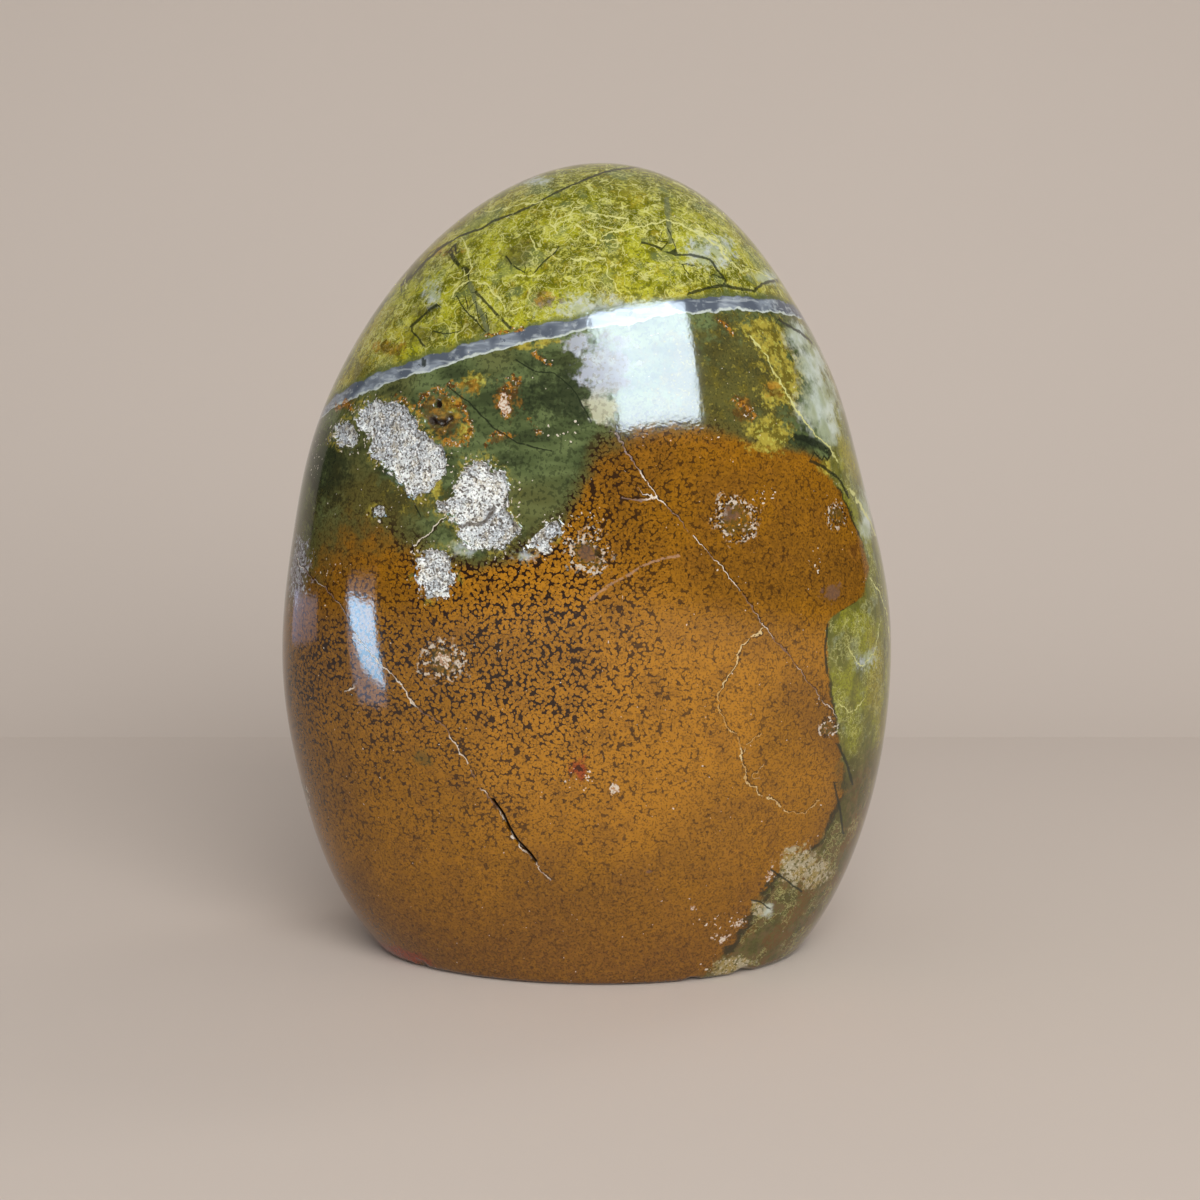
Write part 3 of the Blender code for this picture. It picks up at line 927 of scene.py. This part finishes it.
# the noises, three channels each: size in millimetres, octaves, roughness
noises = {
    "fine": (0.36, 0.0, 0.5), "grit": (0.70, 1.0, 0.6), "mottle": (2.2, 3.0, 0.62),
    "patchy": (6.5, 2.0, 0.6), "broad": (20.0, 1.0, 0.5),
}

# noises drawn out into flows: scale and turn about y, then size, octaves, roughness
flows = {
    "fieldFlow": ((0.30, 0.6, 1.0), 28, 3.4, 2, 0.6),
    "bandFlow": ((1.0, 1.0, 0.3), 10, 1.8, 2, 0.6),
    "strands": ((0.10, 0.4, 1.0), 12, 0.8, 1, 0.5),
}

# the jasper's dark grain gaps: how much of it they cover and how dark they are, each at
# least and where the speckle is strongest
grainGaps = {"size": 0.62, "softness": 0.08, "cover": (0.09, 0.42), "patchy": 0.7,
             "strength": (0.38, 0.62), "fine": 0.42}

# each paint has its ground, then the hues or paints laid over it in order: the mask or
# noise that places each, where that starts and is full unless it is ready, the strength
paints = {
    "jasper": ("brown", (
        ("broad0", 0.42, 0.60, 1, "amber"), ("glow", 0.0, 0.8, 1, "ochre"),
        ("mottle0", 0.48, 0.66, 0.25, "ochre"), ("height", 26, 0, 0.7, "russet"),
        ("patchy2", 0.50, 0.64, 0.3, "russet"), ("mottle2", 0.50, 0.62, 0.35, "brown"),
        ("grit0", 0.46, 0.62, 0.25, "ochre"))),
    "field": ("forest", (
        ("fieldFlow", 0.44, 0.68, 1, "moss"), ("glade", 0.55, "moss"),
        ("broad2", 0.50, 0.66, 0.45, "olive"), ("fieldFlow", 0.46, 0.36, 0.5, "ink"),
        ("grit1", 0.48, 0.38, 0.5, "ink"))),
    "oily": ("umberGreen", (
        ("patchy1", 0.40, 0.60, 1, "oliveBrown"), ("mottle2", 0.50, 0.66, 0.6, "goldShade"),
        ("fine1", 0.46, 0.34, 0.4, "ink"), ("grit0", 0.62, 0.70, 0.35, "gold"))),
    "golden": ("goldShade", (
        ("mottle1", 0.42, 0.56, 1, "gold"), ("grit1", 0.56, 0.66, 0.5, "lemon"))),
    "cap": ("oliveDeep", (
        ("patchy0", 0.38, 0.58, 1, "chartreuse"), ("broad1", 0.46, 0.60, 0.7, "straw"),
        # painted shade: the cap darkens towards its top
        ("height", 130, 150, 0.75, "oliveDeep"), ("capLight", 0.50, 0.60, 0.6, "lemon"),
        ("capShade", 0.49, 0.40, 0.8, "oliveDeep"), ("mottle0", 0.58, 0.68, 0.5, "straw"),
        ("fine1", 0.38, 0.32, 0.5, "forest"), ("patchy2", 0.54, 0.64, 0.55, "moss"),
        ("fine0", 0.66, 0.72, 0.4, "lemon"), ("squiggle", 0.35, "lemon"),
        ("threads", 0.45, "thread"), ("net", 0.6, "thread"))),
    "earthy": ("greyGreen", (
        ("mottle0", 0.40, 0.60, 1, "umberGreen"), ("patchy2", 0.46, 0.58, 0.7, "russet"))),
    "band": ("limeShade", (
        ("bandFlow", 0.36, 0.64, 1, "lightMoss"), ("patchy0", 0.44, 0.60, 0.45, "chartreuse"),
        ("bandMilk", 0.52, 0.62, 0.3, "pale"), ("broad2", 0.54, 0.66, 0.5, "straw"),
        ("bandHeight", 62, 46, 0.95, "earthy"), ("grit1", 0.48, 0.38, 0.5, "limeShade"),
        ("fine1", 0.44, 0.36, 0.5, "olive"), ("threads", 0.34, "thread"))),
    "vein": ("veinDark", (
        ("patchy2", 0.42, 0.56, 1, "veinGrey"), ("mottle0", 0.52, 0.66, 0.5, "veinWhite"),
        ("strands", 0.48, 0.38, 0.5, "veinDark"), ("strands", 0.58, 0.66, 0.4, "veinWhite"),
        ("mottle2", 0.66, 0.70, 0.8, "veinDark"), ("lowerRim", 0.75, "milk"),
        ("upperRim", 0.6, "veinDark"))),
    "crystals": ("sugar", (
        ("patchy1", 0.44, 0.58, 1, "sugarGrey"), ("mottle2", 0.48, 0.60, 0.6, "sugarTan"),
        # painted glints on the crystals
        ("grit0", 0.50, 0.40, 0.65, "sugarGrey"), ("fine0", 0.56, 0.64, 0.7, "sugarGlint"),
        ("fine2", 0.44, 0.34, 0.8, "poreAndShadow"), ("grit1", 0.41, 0.35, 0.85, "poreAndShadow"))),
    "crusty": ("crustGold", (
        ("mottle1", 0.42, 0.60, 1, "crust"), ("fine0", 0.60, 0.70, 0.5, "bone"),
        ("grit0", 0.46, 0.38, 0.85, "olive"))),
    "milky": ("pale", (
        ("patchy1", 0.42, 0.58, 1, "milk"), ("mottle1", 0.42, 0.60, 0.35, "pale"))),
    "misty": ("mist", (
        ("height", 110, 106, 1, "beige"), ("mottle2", 0.52, 0.66, 0.3, "milk"),
        ("grit0", 0.50, 0.40, 0.5, "greyGreen"))),
    "dusky": ("lilac", (("grit1", 0.52, 0.42, 1, "umber"), ("grit0", 0.56, 0.64, 1, "veinWhite"))),
    "rusty": ("rust", (("grit1", 0.56, 0.42, 1, "rustDark"), ("fine0", 0.68, 0.74, 1, "bone"))),
    "filmy": ("pale", (("mottle1", 0.44, 0.60, 1, "veinWhite"),)),
    "honeyed": ("rustDark", (("mottle2", 0.44, 0.58, 1, "rust"),)),
    "creamy": ("blush", (("fine2", 0.40, 0.56, 1, "bone"),)),
    "goldFilling": ("honey", (("patchy2", 0.48, 0.58, 1, "seamGold"),)),
    "whiteFilling": ("plum", (("patchy1", 0.47, 0.58, 1, "bone"),)),
    "stone": ("field", (
        ("oliveCloud", 0.9, "oily"), ("underBrown", 0.85, "olive"), ("brownArea", 1, "jasper"),
        ("brickCloud", 0.85, "brick"), ("grainGaps", 1, "umber"), ("darkCloud", 0.7, "ink"),
        ("goldCloud", 0.85, "golden"), ("bandArea", 1, "band"), ("bandBorder", 0.8, "ink"),
        ("capArea", 1, "cap"), ("paleCloud", 0.8, "milky"), ("frostCloud", 0.75, "filmy"),
        ("mistCloud", 0.85, "misty"), ("crustCloud", 0.9, "crusty"),
        ("honeyCloud", 0.6, "honeyed"), ("shadeCloud", 0.6, "umberGreen"),
        ("veinFringe", 0.75, "forest"), ("veinArea", 1, "vein"), ("lilacCloud", 0.8, "dusky"),
        ("ringGrime", 0.75, "umber"), ("ringDots", 0.7, "bone"),
        ("ringHeart", 0.6, "umberGreen"), ("plumCloud", 0.65, "plum"),
        ("hazeSeam", 0.6, "blush"), ("smokeSeam", 0.7, "smoke"), ("rustSeam", 0.85, "rusty"),
        ("creamCloud", 0.85, "creamy"), ("grainsAndGlints", 0.85, "bone"), ("darkSeam", 0.85, "ink"),
        ("paleSeam", 0.8, "thread"), ("goldShadow", 0.8, "umber"),
        ("goldSeam", 0.8, "goldFilling"), ("whiteShadow", 0.85, "umber"),
        ("whiteSeam", 0.85, "whiteFilling"), ("crystalHalo", 0.6, "gold"),
        # painted shade in a thin ring round the crystal hollows, then the crystals
        ("crystalRimShade", 0.4, "umber"), ("crystalArea", 1, "crystals"),
        # painted shadow under the crystal plate, then painted shade in the vug's pits and the open
        # crack
        ("ledgeSeam", 0.8, "poreAndShadow"), ("pits", 0.94, "umber"))),
}


def paint(tree, masks, name):    # a plain hue, or a paint with all that lies over its ground
    if name in hues:
        return hues[name]
    ground, patches = paints[name]
    colour = paint(tree, masks, ground)
    for source, *edges, strength, over in patches:
        mask = fade(tree, masks[source], *edges) if edges else masks[source]
        if strength < 1:
            mask = times(tree, mask, strength)
        colour = tint(tree, mask, colour, paint(tree, masks, over))
    return colour


def mixNoises(tree, place):
    masks = {}
    for name, (size, detail, rough) in noises.items():
        made = addNode(tree, "TexNoise", {"Vector": place, "Scale": 1 / size, "Detail": detail,
                                          "Roughness": rough, "Distortion": 0.0})
        parts = addNode(tree, "SeparateColor", {0: made.outputs["Color"]}).outputs
        masks.update((name + str(channel), part) for channel, part in enumerate(parts))
    for name, (scale, turn, size, detail, rough) in flows.items():
        drawn = addNode(tree, "Mapping", {"Vector": place, "Scale": scale,
                                          "Rotation": (0, math.radians(turn), 0)})
        masks[name] = cloudy(tree, drawn.outputs[0], size, detail, rough)
    return masks


def maskGrounds(tree, masks, marks, edge):    # the jasper, the field, the cap and the band
    masks["glow"] = plus(tree, marks["ochreCloud"], swing(tree, masks["broad1"], 1.2))
    masks["glade"] = times(tree, fade(tree, masks["patchy1"], 0.46, 0.64),
                           fade(tree, masks["grit2"], 0.42, 0.60))
    masks["underBrown"] = edge("brownRise", 3.0, 1.0, "patchy", 1.3)
    masks["brownArea"] = edge("brownRise", 2.4, 0.9)
    masks["capArea"] = edge("capRise", 0.6, 0.12, "mottle", -0.6)
    masks["capLight"] = plus(tree, times(tree, masks["grit0"], 0.4),
                             times(tree, masks["mottle1"], 0.6))
    masks["capShade"] = plus(tree, times(tree, masks["grit1"], 0.3),
                             times(tree, masks["mottle2"], 0.7))
    squiggle = awayFrom(tree, masks["grit2"], 0.5)
    masks["squiggle"] = times(tree, fade(tree, squiggle, 0.034, 0.012),
                              fade(tree, masks["mottle2"], 0.47, 0.56))
    crest = calc(tree, "MINIMUM", awayFrom(tree, masks["mottle0"], 0.5),
                 awayFrom(tree, masks["mottle1"], 0.52))
    masks["threads"] = times(tree, fade(tree, crest, 0.018, 0.006),
                             fade(tree, masks["patchy1"], 0.44, 0.54))
    ridge = calc(tree, "MINIMUM", awayFrom(tree, masks["patchy2"], 0.5),
                 awayFrom(tree, masks["patchy0"], 0.47))
    masks["net"] = times(tree, fade(tree, ridge, 0.009, 0.003),
                         fade(tree, masks["mottle2"], 0.42, 0.50))
    masks["bandArea"] = edge("bandReach", 2.2, 0.35)
    masks["bandMilk"] = plus(tree, times(tree, masks["mottle1"], 0.5),
                             times(tree, masks["patchy2"], 0.5))
    masks["bandHeight"] = plus(tree, marks["height"], times(tree, masks["patchy1"], 30.0))
    border = plus(tree, marks["bandReach"], swing(tree, masks["mottle0"], 2.2))
    masks["bandBorder"] = times(tree, fade(tree, calc(tree, "ABSOLUTE", border), 0.45, 0.1),
                                fade(tree, masks["patchy0"], 0.46, 0.54))


def maskGrainGaps(tree, masks, marks, edge, specks, place):
    least, most = grainGaps["cover"]
    cover = plus(tree, times(tree, marks["speckle"], most),
                 swing(tree, masks["patchy0"], grainGaps["patchy"]), least)
    coarse = useGroup(tree, specks, {"Place": place, "Size": grainGaps["size"], "Cover": cover,
                                     "Softness": grainGaps["softness"]}).outputs["Mask"]
    least, most = grainGaps["strength"]
    coarse = times(tree, coarse, plus(tree, least, times(tree, marks["speckle"], most)))
    fine = times(tree, fade(tree, masks["fine1"], 0.48, 0.36), grainGaps["fine"])
    either = calc(tree, "SUBTRACT", plus(tree, coarse, fine), times(tree, coarse, fine))
    masks["grainGaps"] = times(tree, edge("brownRise", 2.0, 1.0, "mottle", 1.6), either)


def maskVein(tree, masks, marks):    # from the distance to the sheet that the vein lies in
    sheet = plus(tree, marks["capRise"], swing(tree, masks["patchy0"], 3.0),
                 swing(tree, masks["mottle0"], 1.2))
    above = calc(tree, "SUBTRACT", calc(tree, "ABSOLUTE", sheet),
                 plus(tree, 0.95, times(tree, masks["patchy1"], 0.8)))
    rim = plus(tree, above, swing(tree, masks["mottle1"], 1.6))
    masks["veinFringe"] = times(tree, fade(tree, above, 1.5, 0.2), fade(tree, sheet, -0.5, 0.0))
    masks["veinArea"] = fade(tree, above, 0.16, -0.08)
    masks["lowerRim"] = times(tree, fade(tree, rim, -0.50, -0.05), fade(tree, sheet, 0.4, -0.4))
    masks["upperRim"] = times(tree, fade(tree, above, -0.30, 0.0), fade(tree, sheet, -0.2, 0.4))


def maskRings(tree, masks, marks):
    spot = plus(tree, marks["ringCloud"], swing(tree, masks["mottle0"], 1.4))
    ring = times(tree, fade(tree, spot, -0.05, 0.2), fade(tree, spot, 0.70, 0.40))
    masks["ringGrime"] = times(tree, ring, fade(tree, masks["fine1"], 0.58, 0.46))
    masks["ringDots"] = times(tree, ring, fade(tree, masks["grit0"], 0.50, 0.56),
                              fade(tree, masks["mottle2"], 0.42, 0.52))
    masks["ringHeart"] = times(tree, fade(tree, spot, 0.35, 0.6),
                               fade(tree, masks["grit0"], 0.62, 0.48))


def maskClouds(tree, masks, marks):
    for name, (grain, low, high) in cloudLooks.items():
        rough = plus(tree, times(tree, masks["grit0"], grain), times(tree, masks["mottle0"], 2.0))
        rough = calc(tree, "SUBTRACT", rough, 0.5 * (grain + 2.0))
        field = plus(tree, marks[name + "Cloud"], rough)
        masks[name + "Cloud"] = fade(tree, field, low, high)
    nearby = calc(tree, "MAXIMUM", fade(tree, marks["flecksCloud"], 0.0, 0.5),
                  fade(tree, marks["crystalReach"], -3.2, -0.4))
    rare = calc(tree, "SUBTRACT", 0.78, times(tree, nearby, 0.115))
    # tiny pale grains and painted glints, denser in the fleck clouds and round the crystals
    masks["grainsAndGlints"] = fade(tree, masks["grit2"], rare, plus(tree, rare, 0.02))


def maskSeams(tree, masks, marks, seamLine):
    for name, (wobble, keep) in seamLooks.items():
        feeds = {"Offset": marks[name + "Offset"], "Sway": masks["mottle1"],
                 "Nearness": marks[name + "Nearness"], "Swell": masks["mottle0"],
                 "Width": marks[name + "Width"], "Wobble": wobble,
                 "Keep": fade(tree, masks["mottle2"], keep, keep + 0.08)}
        made = useGroup(tree, seamLine, feeds).outputs
        masks[name + "Seam"], masks[name + "Shadow"] = made["Mask"], made["Shadow"]
    for name, low, high in (("hazeSeam", 0.32, 0.50), ("rustSeam", 0.36, 0.52)):    # grainy ones
        masks[name] = times(tree, masks[name], fade(tree, masks["grit0"], low, high))


def maskCrystals(tree, masks, marks, edge):
    masks["crystalHalo"] = times(tree, edge("crystalReach", 2.0, 0.8, "mottle", 1.2),
                                 fade(tree, masks["patchy1"], 0.46, 0.58),
                                 fade(tree, masks["grit0"], 0.42, 0.58))
    reach = plus(tree, marks["crystalReach"], swing(tree, masks["grit0"], 2.0),
                 swing(tree, masks["mottle1"], 2.6))
    masks["crystalArea"] = fade(tree, reach, -0.12, 0.10)
    # painted shade: a thin dark ring just outside each crystal hollow
    masks["crystalRimShade"] = times(tree, fade(tree, reach, -0.5, -0.1),
                                 fade(tree, masks["mottle1"], 0.46, 0.54))
    # painted shade: the vug's pits and the open crack darkened with their depth
    masks["pits"] = fade(tree, marks["hole"], 0.25, 0.9)


def makeStonePattern(groups, names):    # the stone's colours, for its polished and sawn faces
    outputs = {"Colour": "colour", "Crystals": "", "Seams": "", "Mist": "", "Height": "",
               "Polish": ""}
    tree, start, end = startGroup("stonePattern", {}, outputs)
    ownPlace = addNode(tree, "TexCoord", {}).outputs["Object"]
    place = addNode(tree, "VectorMath", {0: ownPlace, "Scale": 1 / mm},
                    operation="SCALE").outputs[0]
    marks = readMarks(tree, names)
    masks = mixNoises(tree, place)
    masks["height"] = marks["height"]

    def edge(name, ragged, softness, noise="mottle", shift=0.0):
        feeds = {"Distance": plus(tree, marks[name], shift), "Noise": masks[noise + "0"],
                 "Ragged": ragged, "Softness": softness}
        return useGroup(tree, groups["raggedEdge"], feeds).outputs["Mask"]

    maskGrounds(tree, masks, marks, edge)
    maskGrainGaps(tree, masks, marks, edge, groups["specks"], place)
    maskVein(tree, masks, marks)
    maskRings(tree, masks, marks)
    maskClouds(tree, masks, marks)
    maskSeams(tree, masks, marks, groups["seamLine"])
    maskCrystals(tree, masks, marks, edge)
    cracks = calc(tree, "MAXIMUM", masks["goldSeam"], masks["pits"])
    feed(tree, paint(tree, masks, "stone"), end["Colour"])
    feed(tree, masks["crystalArea"], end["Crystals"])
    feed(tree, calc(tree, "MAXIMUM", masks["whiteSeam"], cracks), end["Seams"])
    feed(tree, masks["mistCloud"], end["Mist"])
    rough = fade(tree, marks["crystalReach"], -0.6, 0.2)
    feed(tree, times(tree, rough, masks["grit1"]), end["Height"])
    feed(tree, masks["grit2"], end["Polish"])
    return tree


# how the polished and the sawn faces shine: roughness, and what the crystals, the seams and
# the mist add to it, then how high the crystals and the ripple of the polish stand
finishes = {
    "polished": {"roughness": 0.085, "crystals": 0.62, "seams": 0.35, "mist": 0.2,
                 "sugar": 0.30, "ripple": 0.010, "ior": 1.46},
    "sawn": {"roughness": 0.62, "dust": 0.35},
}


def makePolished(pattern):
    look = finishes["polished"]
    material, tree, shader = startMaterial("polishedOpal", look["roughness"])
    made = useGroup(tree, pattern, {}).outputs
    feed(tree, made["Colour"], shader["Base Color"])
    rough = plus(tree, look["roughness"], times(tree, made["Crystals"], look["crystals"]),
                 times(tree, made["Seams"], look["seams"]),
                 times(tree, made["Mist"], look["mist"]))
    feed(tree, rough, shader["Roughness"])
    shader["IOR"].default_value = look["ior"]
    height = plus(tree, times(tree, made["Height"], look["sugar"]),
                  times(tree, made["Polish"], look["ripple"]))
    bump = addNode(tree, "Bump", {"Height": height, "Strength": 1.0, "Distance": mm})
    feed(tree, bump.outputs[0], shader["Normal"])
    return material


def makeSawn(pattern):
    look = finishes["sawn"]
    material, tree, shader = startMaterial("sawnFoot", look["roughness"])
    made = useGroup(tree, pattern, {}).outputs
    feed(tree, tint(tree, look["dust"], made["Colour"], hues["bone"]), shader["Base Color"])
    return material


def dressStone(body, names):
    groups = {"raggedEdge": makeRaggedEdge(), "specks": makeSpecks(),
              "seamLine": makeSeamLine()}
    pattern = makeStonePattern(groups, names)
    body.data.materials.clear()
    body.data.materials.append(makePolished(pattern))
    body.data.materials.append(makeSawn(pattern))
    sawn = faceCentres(body.data)[:, 2] < 1e-5
    body.data.polygons.foreach_set("material_index", sawn.astype(int))
    print("stone dressed")


# the room: pale floor and backdrop, soft lights, and the camera
room = {
    "floorColour": (0.62, 0.535, 0.465),
    "floorShade": 0.93,
    "mottle": 0.35,    # metres
    "roughness": 0.6,
    "floorFront": -1400,
    "floorBack": 1200,
    "halfWidth": 2000,
    "backdrop": (900, 1500, 560),    # half width, height and distance behind the stone
    "foreground": 500,    # how far the backdrop's foot runs forwards under the floor
    "sweep": 380,
    "airColour": (0.90, 0.94, 1.0, 1.0),
    "airLight": 0.42,
}

lights = (
    # name, azimuth, lift, distance, width, height, spread, radiance, colour
    ("key", 14, 27, 1200, 900, 700, 100, 9.7, (1.0, 1.0, 1.0)),
    ("rearFill", 150, 45, 1200, 900, 700, 100, 4.6, (1.0, 0.98, 0.95)),
)

lampTarget = (0, 0, 80)

# bright windows that only the polish shows: the place that mirrors them, azimuth, lift,
# distance, corners to the right and up on that plane, radiance at top and bottom, colour
windows = {
    "windowPane": ((8, -36, 112), 20, 24, 700,
                   ((-240, 268), (275, 335), (167, -142), (-213, -199)), (22, 22),
                   (0.86, 1.02, 1.16)),
    "sideWindow": ((-39, -33, 64), -62, -7, 150,
                   ((-41, 27), (7, 22), (28, -34), (-6, -17)), (20, 17), (0.48, 0.78, 1.1)),
    "sideCurtain": ((-39, -33, 64), -62, -7, 152,
                    ((-47, 36), (4, 36), (28, -47), (-16, -40)), (1.6, 3.2), (0.72, 0.76, 1.0)),
    "doorway": ((-52, -18, 70), -100, 0, 300,
                ((-201, -14), (0, -2), (17, -40), (-195, -53)), (1.3, 0.8), (0.85, 0.85, 1.15)),
}

windowStreaks = (0.86, 0.28, 0.03)    # least brightness, how much more, size in metres

view = {"x": 2.5, "distance": 425.6, "height": 123, "tilt": 7.5, "angle": 30, "sensor": 36}


def aim(azimuth, lift):
    turn, rise = math.radians(azimuth), math.radians(lift)
    return Vector((math.sin(turn) * math.cos(rise), -math.cos(turn) * math.cos(rise),
                   math.sin(rise)))


def paintPaper():
    material, tree, shader = startMaterial("palePaper", room["roughness"])
    place = addNode(tree, "TexCoord", {}).outputs["Object"]
    shade = tuple(value * room["floorShade"] for value in room["floorColour"])
    feed(tree, tint(tree, cloudy(tree, place, room["mottle"], 3), room["floorColour"], shade),
         shader["Base Color"])
    shader["Specular IOR Level"].default_value = 0.0
    return material


def addPlane(name, paper, width, front, back, height=0.0):
    bpy.ops.object.select_all(action="DESELECT")
    bpy.ops.mesh.primitive_plane_add(size=1, location=(0, (front + back) / 2, height))
    plane = bpy.context.object
    plane.name = name
    plane.scale = (width, back - front, 1)
    bpy.ops.object.transform_apply(location=True, rotation=False, scale=True)
    plane.data.materials.append(paper)
    return plane


def makeFloor():
    paper = paintPaper()
    addPlane("paleFloor", paper, room["halfWidth"] * 2 * mm,
                      room["floorFront"] * mm, room["floorBack"] * mm)
    halfWidth, height, distance = (value * mm for value in room["backdrop"])
    backdrop = addPlane("backdrop", paper, halfWidth * 2, distance - room["foreground"] * mm,
                        distance, -mm)
    mesh = backdrop.data
    behind = readPoints(mesh)[:, 1] > distance - mm
    mesh.vertices.foreach_set("select", behind)
    mesh.polygons.foreach_set("select", [False] * len(mesh.polygons))
    mesh.edges.foreach_set("select", [all(behind[v] for v in e.vertices) for e in mesh.edges])
    bpy.context.tool_settings.mesh_select_mode = (False, True, False)
    bpy.ops.object.mode_set(mode="EDIT")
    bpy.ops.mesh.extrude_region_move(TRANSFORM_OT_translate={"value": (0, 0, height)})
    bpy.ops.object.mode_set(mode="OBJECT")
    bevel = backdrop.modifiers.new("sweep", "BEVEL")
    bevel.width = room["sweep"] * mm
    bevel.segments = 24
    bevel.limit_method = "ANGLE"
    bpy.ops.object.modifier_apply(modifier="sweep")
    bpy.ops.object.shade_smooth()


def makeWindows():
    least, more, streakSize = windowStreaks
    for name, (target, azimuth, lift, distance, corners, radiance, colour) in windows.items():
        towards = aim(azimuth, lift)
        right = Vector((0, 0, 1)).cross(towards).normalized()
        centre = Vector(target) + towards * distance
        up = towards.cross(right)
        bpy.ops.object.select_all(action="DESELECT")
        bpy.ops.mesh.primitive_plane_add(size=1)
        card = bpy.context.object
        card.name = name
        upright = (corners[3], corners[2], corners[0], corners[1])
        for vertex, (across, above) in zip(card.data.vertices, upright):
            vertex.co = (centre + right * across + up * above) * mm
        material = bpy.data.materials.new(name)
        material.use_nodes = True
        material.cycles.emission_sampling = "NONE"
        tree = material.node_tree
        tree.nodes.remove(tree.nodes["Principled BSDF"])
        places = addNode(tree, "TexCoord", {}).outputs
        rise = addNode(tree, "SeparateXYZ", {0: places["UV"]}).outputs["Y"]
        strength = addNode(tree, "MapRange", {0: rise, 3: radiance[1], 4: radiance[0]}).outputs[0]
        streaks = cloudy(tree, places["Object"], streakSize, 3)
        strength = times(tree, strength, plus(tree, least, times(tree, streaks, more)))
        glow = addNode(tree, "Emission", {"Color": colour, "Strength": strength})
        feed(tree, glow.outputs[0], tree.nodes["Material Output"].inputs["Surface"])
        card.data.materials.append(material)
        card.visible_camera = False
        card.visible_diffuse = False
        card.visible_shadow = False


def makeLights():
    for name, azimuth, lift, distance, width, height, spread, radiance, colour in lights:
        data = bpy.data.lights.new(name, "AREA")
        data.shape = "RECTANGLE"
        data.size = width * mm
        data.size_y = height * mm
        data.spread = math.radians(spread)
        edge = math.radians(spread / 2)    # a narrow spread keeps the light off the far floor
        data.energy = radiance * math.pi * width * height * mm * mm
        data.energy *= 1 - edge / math.tan(edge)
        data.color = colour
        lamp = bpy.data.objects.new(name, data)
        towards = aim(azimuth, lift)
        lamp.location = (Vector(lampTarget) + towards * distance) * mm
        lamp.rotation_euler = towards.to_track_quat("Z", "Y").to_euler()
        lamp.visible_camera = False
        lamp.visible_glossy = False
        bpy.context.scene.collection.objects.link(lamp)
    world = bpy.data.worlds.new("softRoom")
    world.use_nodes = True
    background = world.node_tree.nodes["Background"]
    background.inputs["Color"].default_value = room["airColour"]
    background.inputs["Strength"].default_value = room["airLight"]
    world.cycles_visibility.glossy = False    # a dark room round the polished stone
    bpy.context.scene.world = world
    bpy.context.scene.view_settings.view_transform = "Standard"


def makeCamera():
    data = bpy.data.cameras.new("photoView")
    data.sensor_width = view["sensor"]
    data.lens = view["sensor"] / 2 / math.tan(math.radians(view["angle"] / 2))
    data.clip_start = 0.01
    camera = bpy.data.objects.new("photoView", data)
    camera.location = (view["x"] * mm, -view["distance"] * mm, view["height"] * mm)
    camera.rotation_euler = (math.radians(90 - view["tilt"]), 0, 0)
    bpy.context.scene.collection.objects.link(camera)
    bpy.context.scene.camera = camera


makeCamera()
stone, markNames = makeStone()
dressStone(stone, markNames)
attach(stone, "root")
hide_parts("opal_freeform")
makeFloor()
makeWindows()
makeLights()
print("room ready")
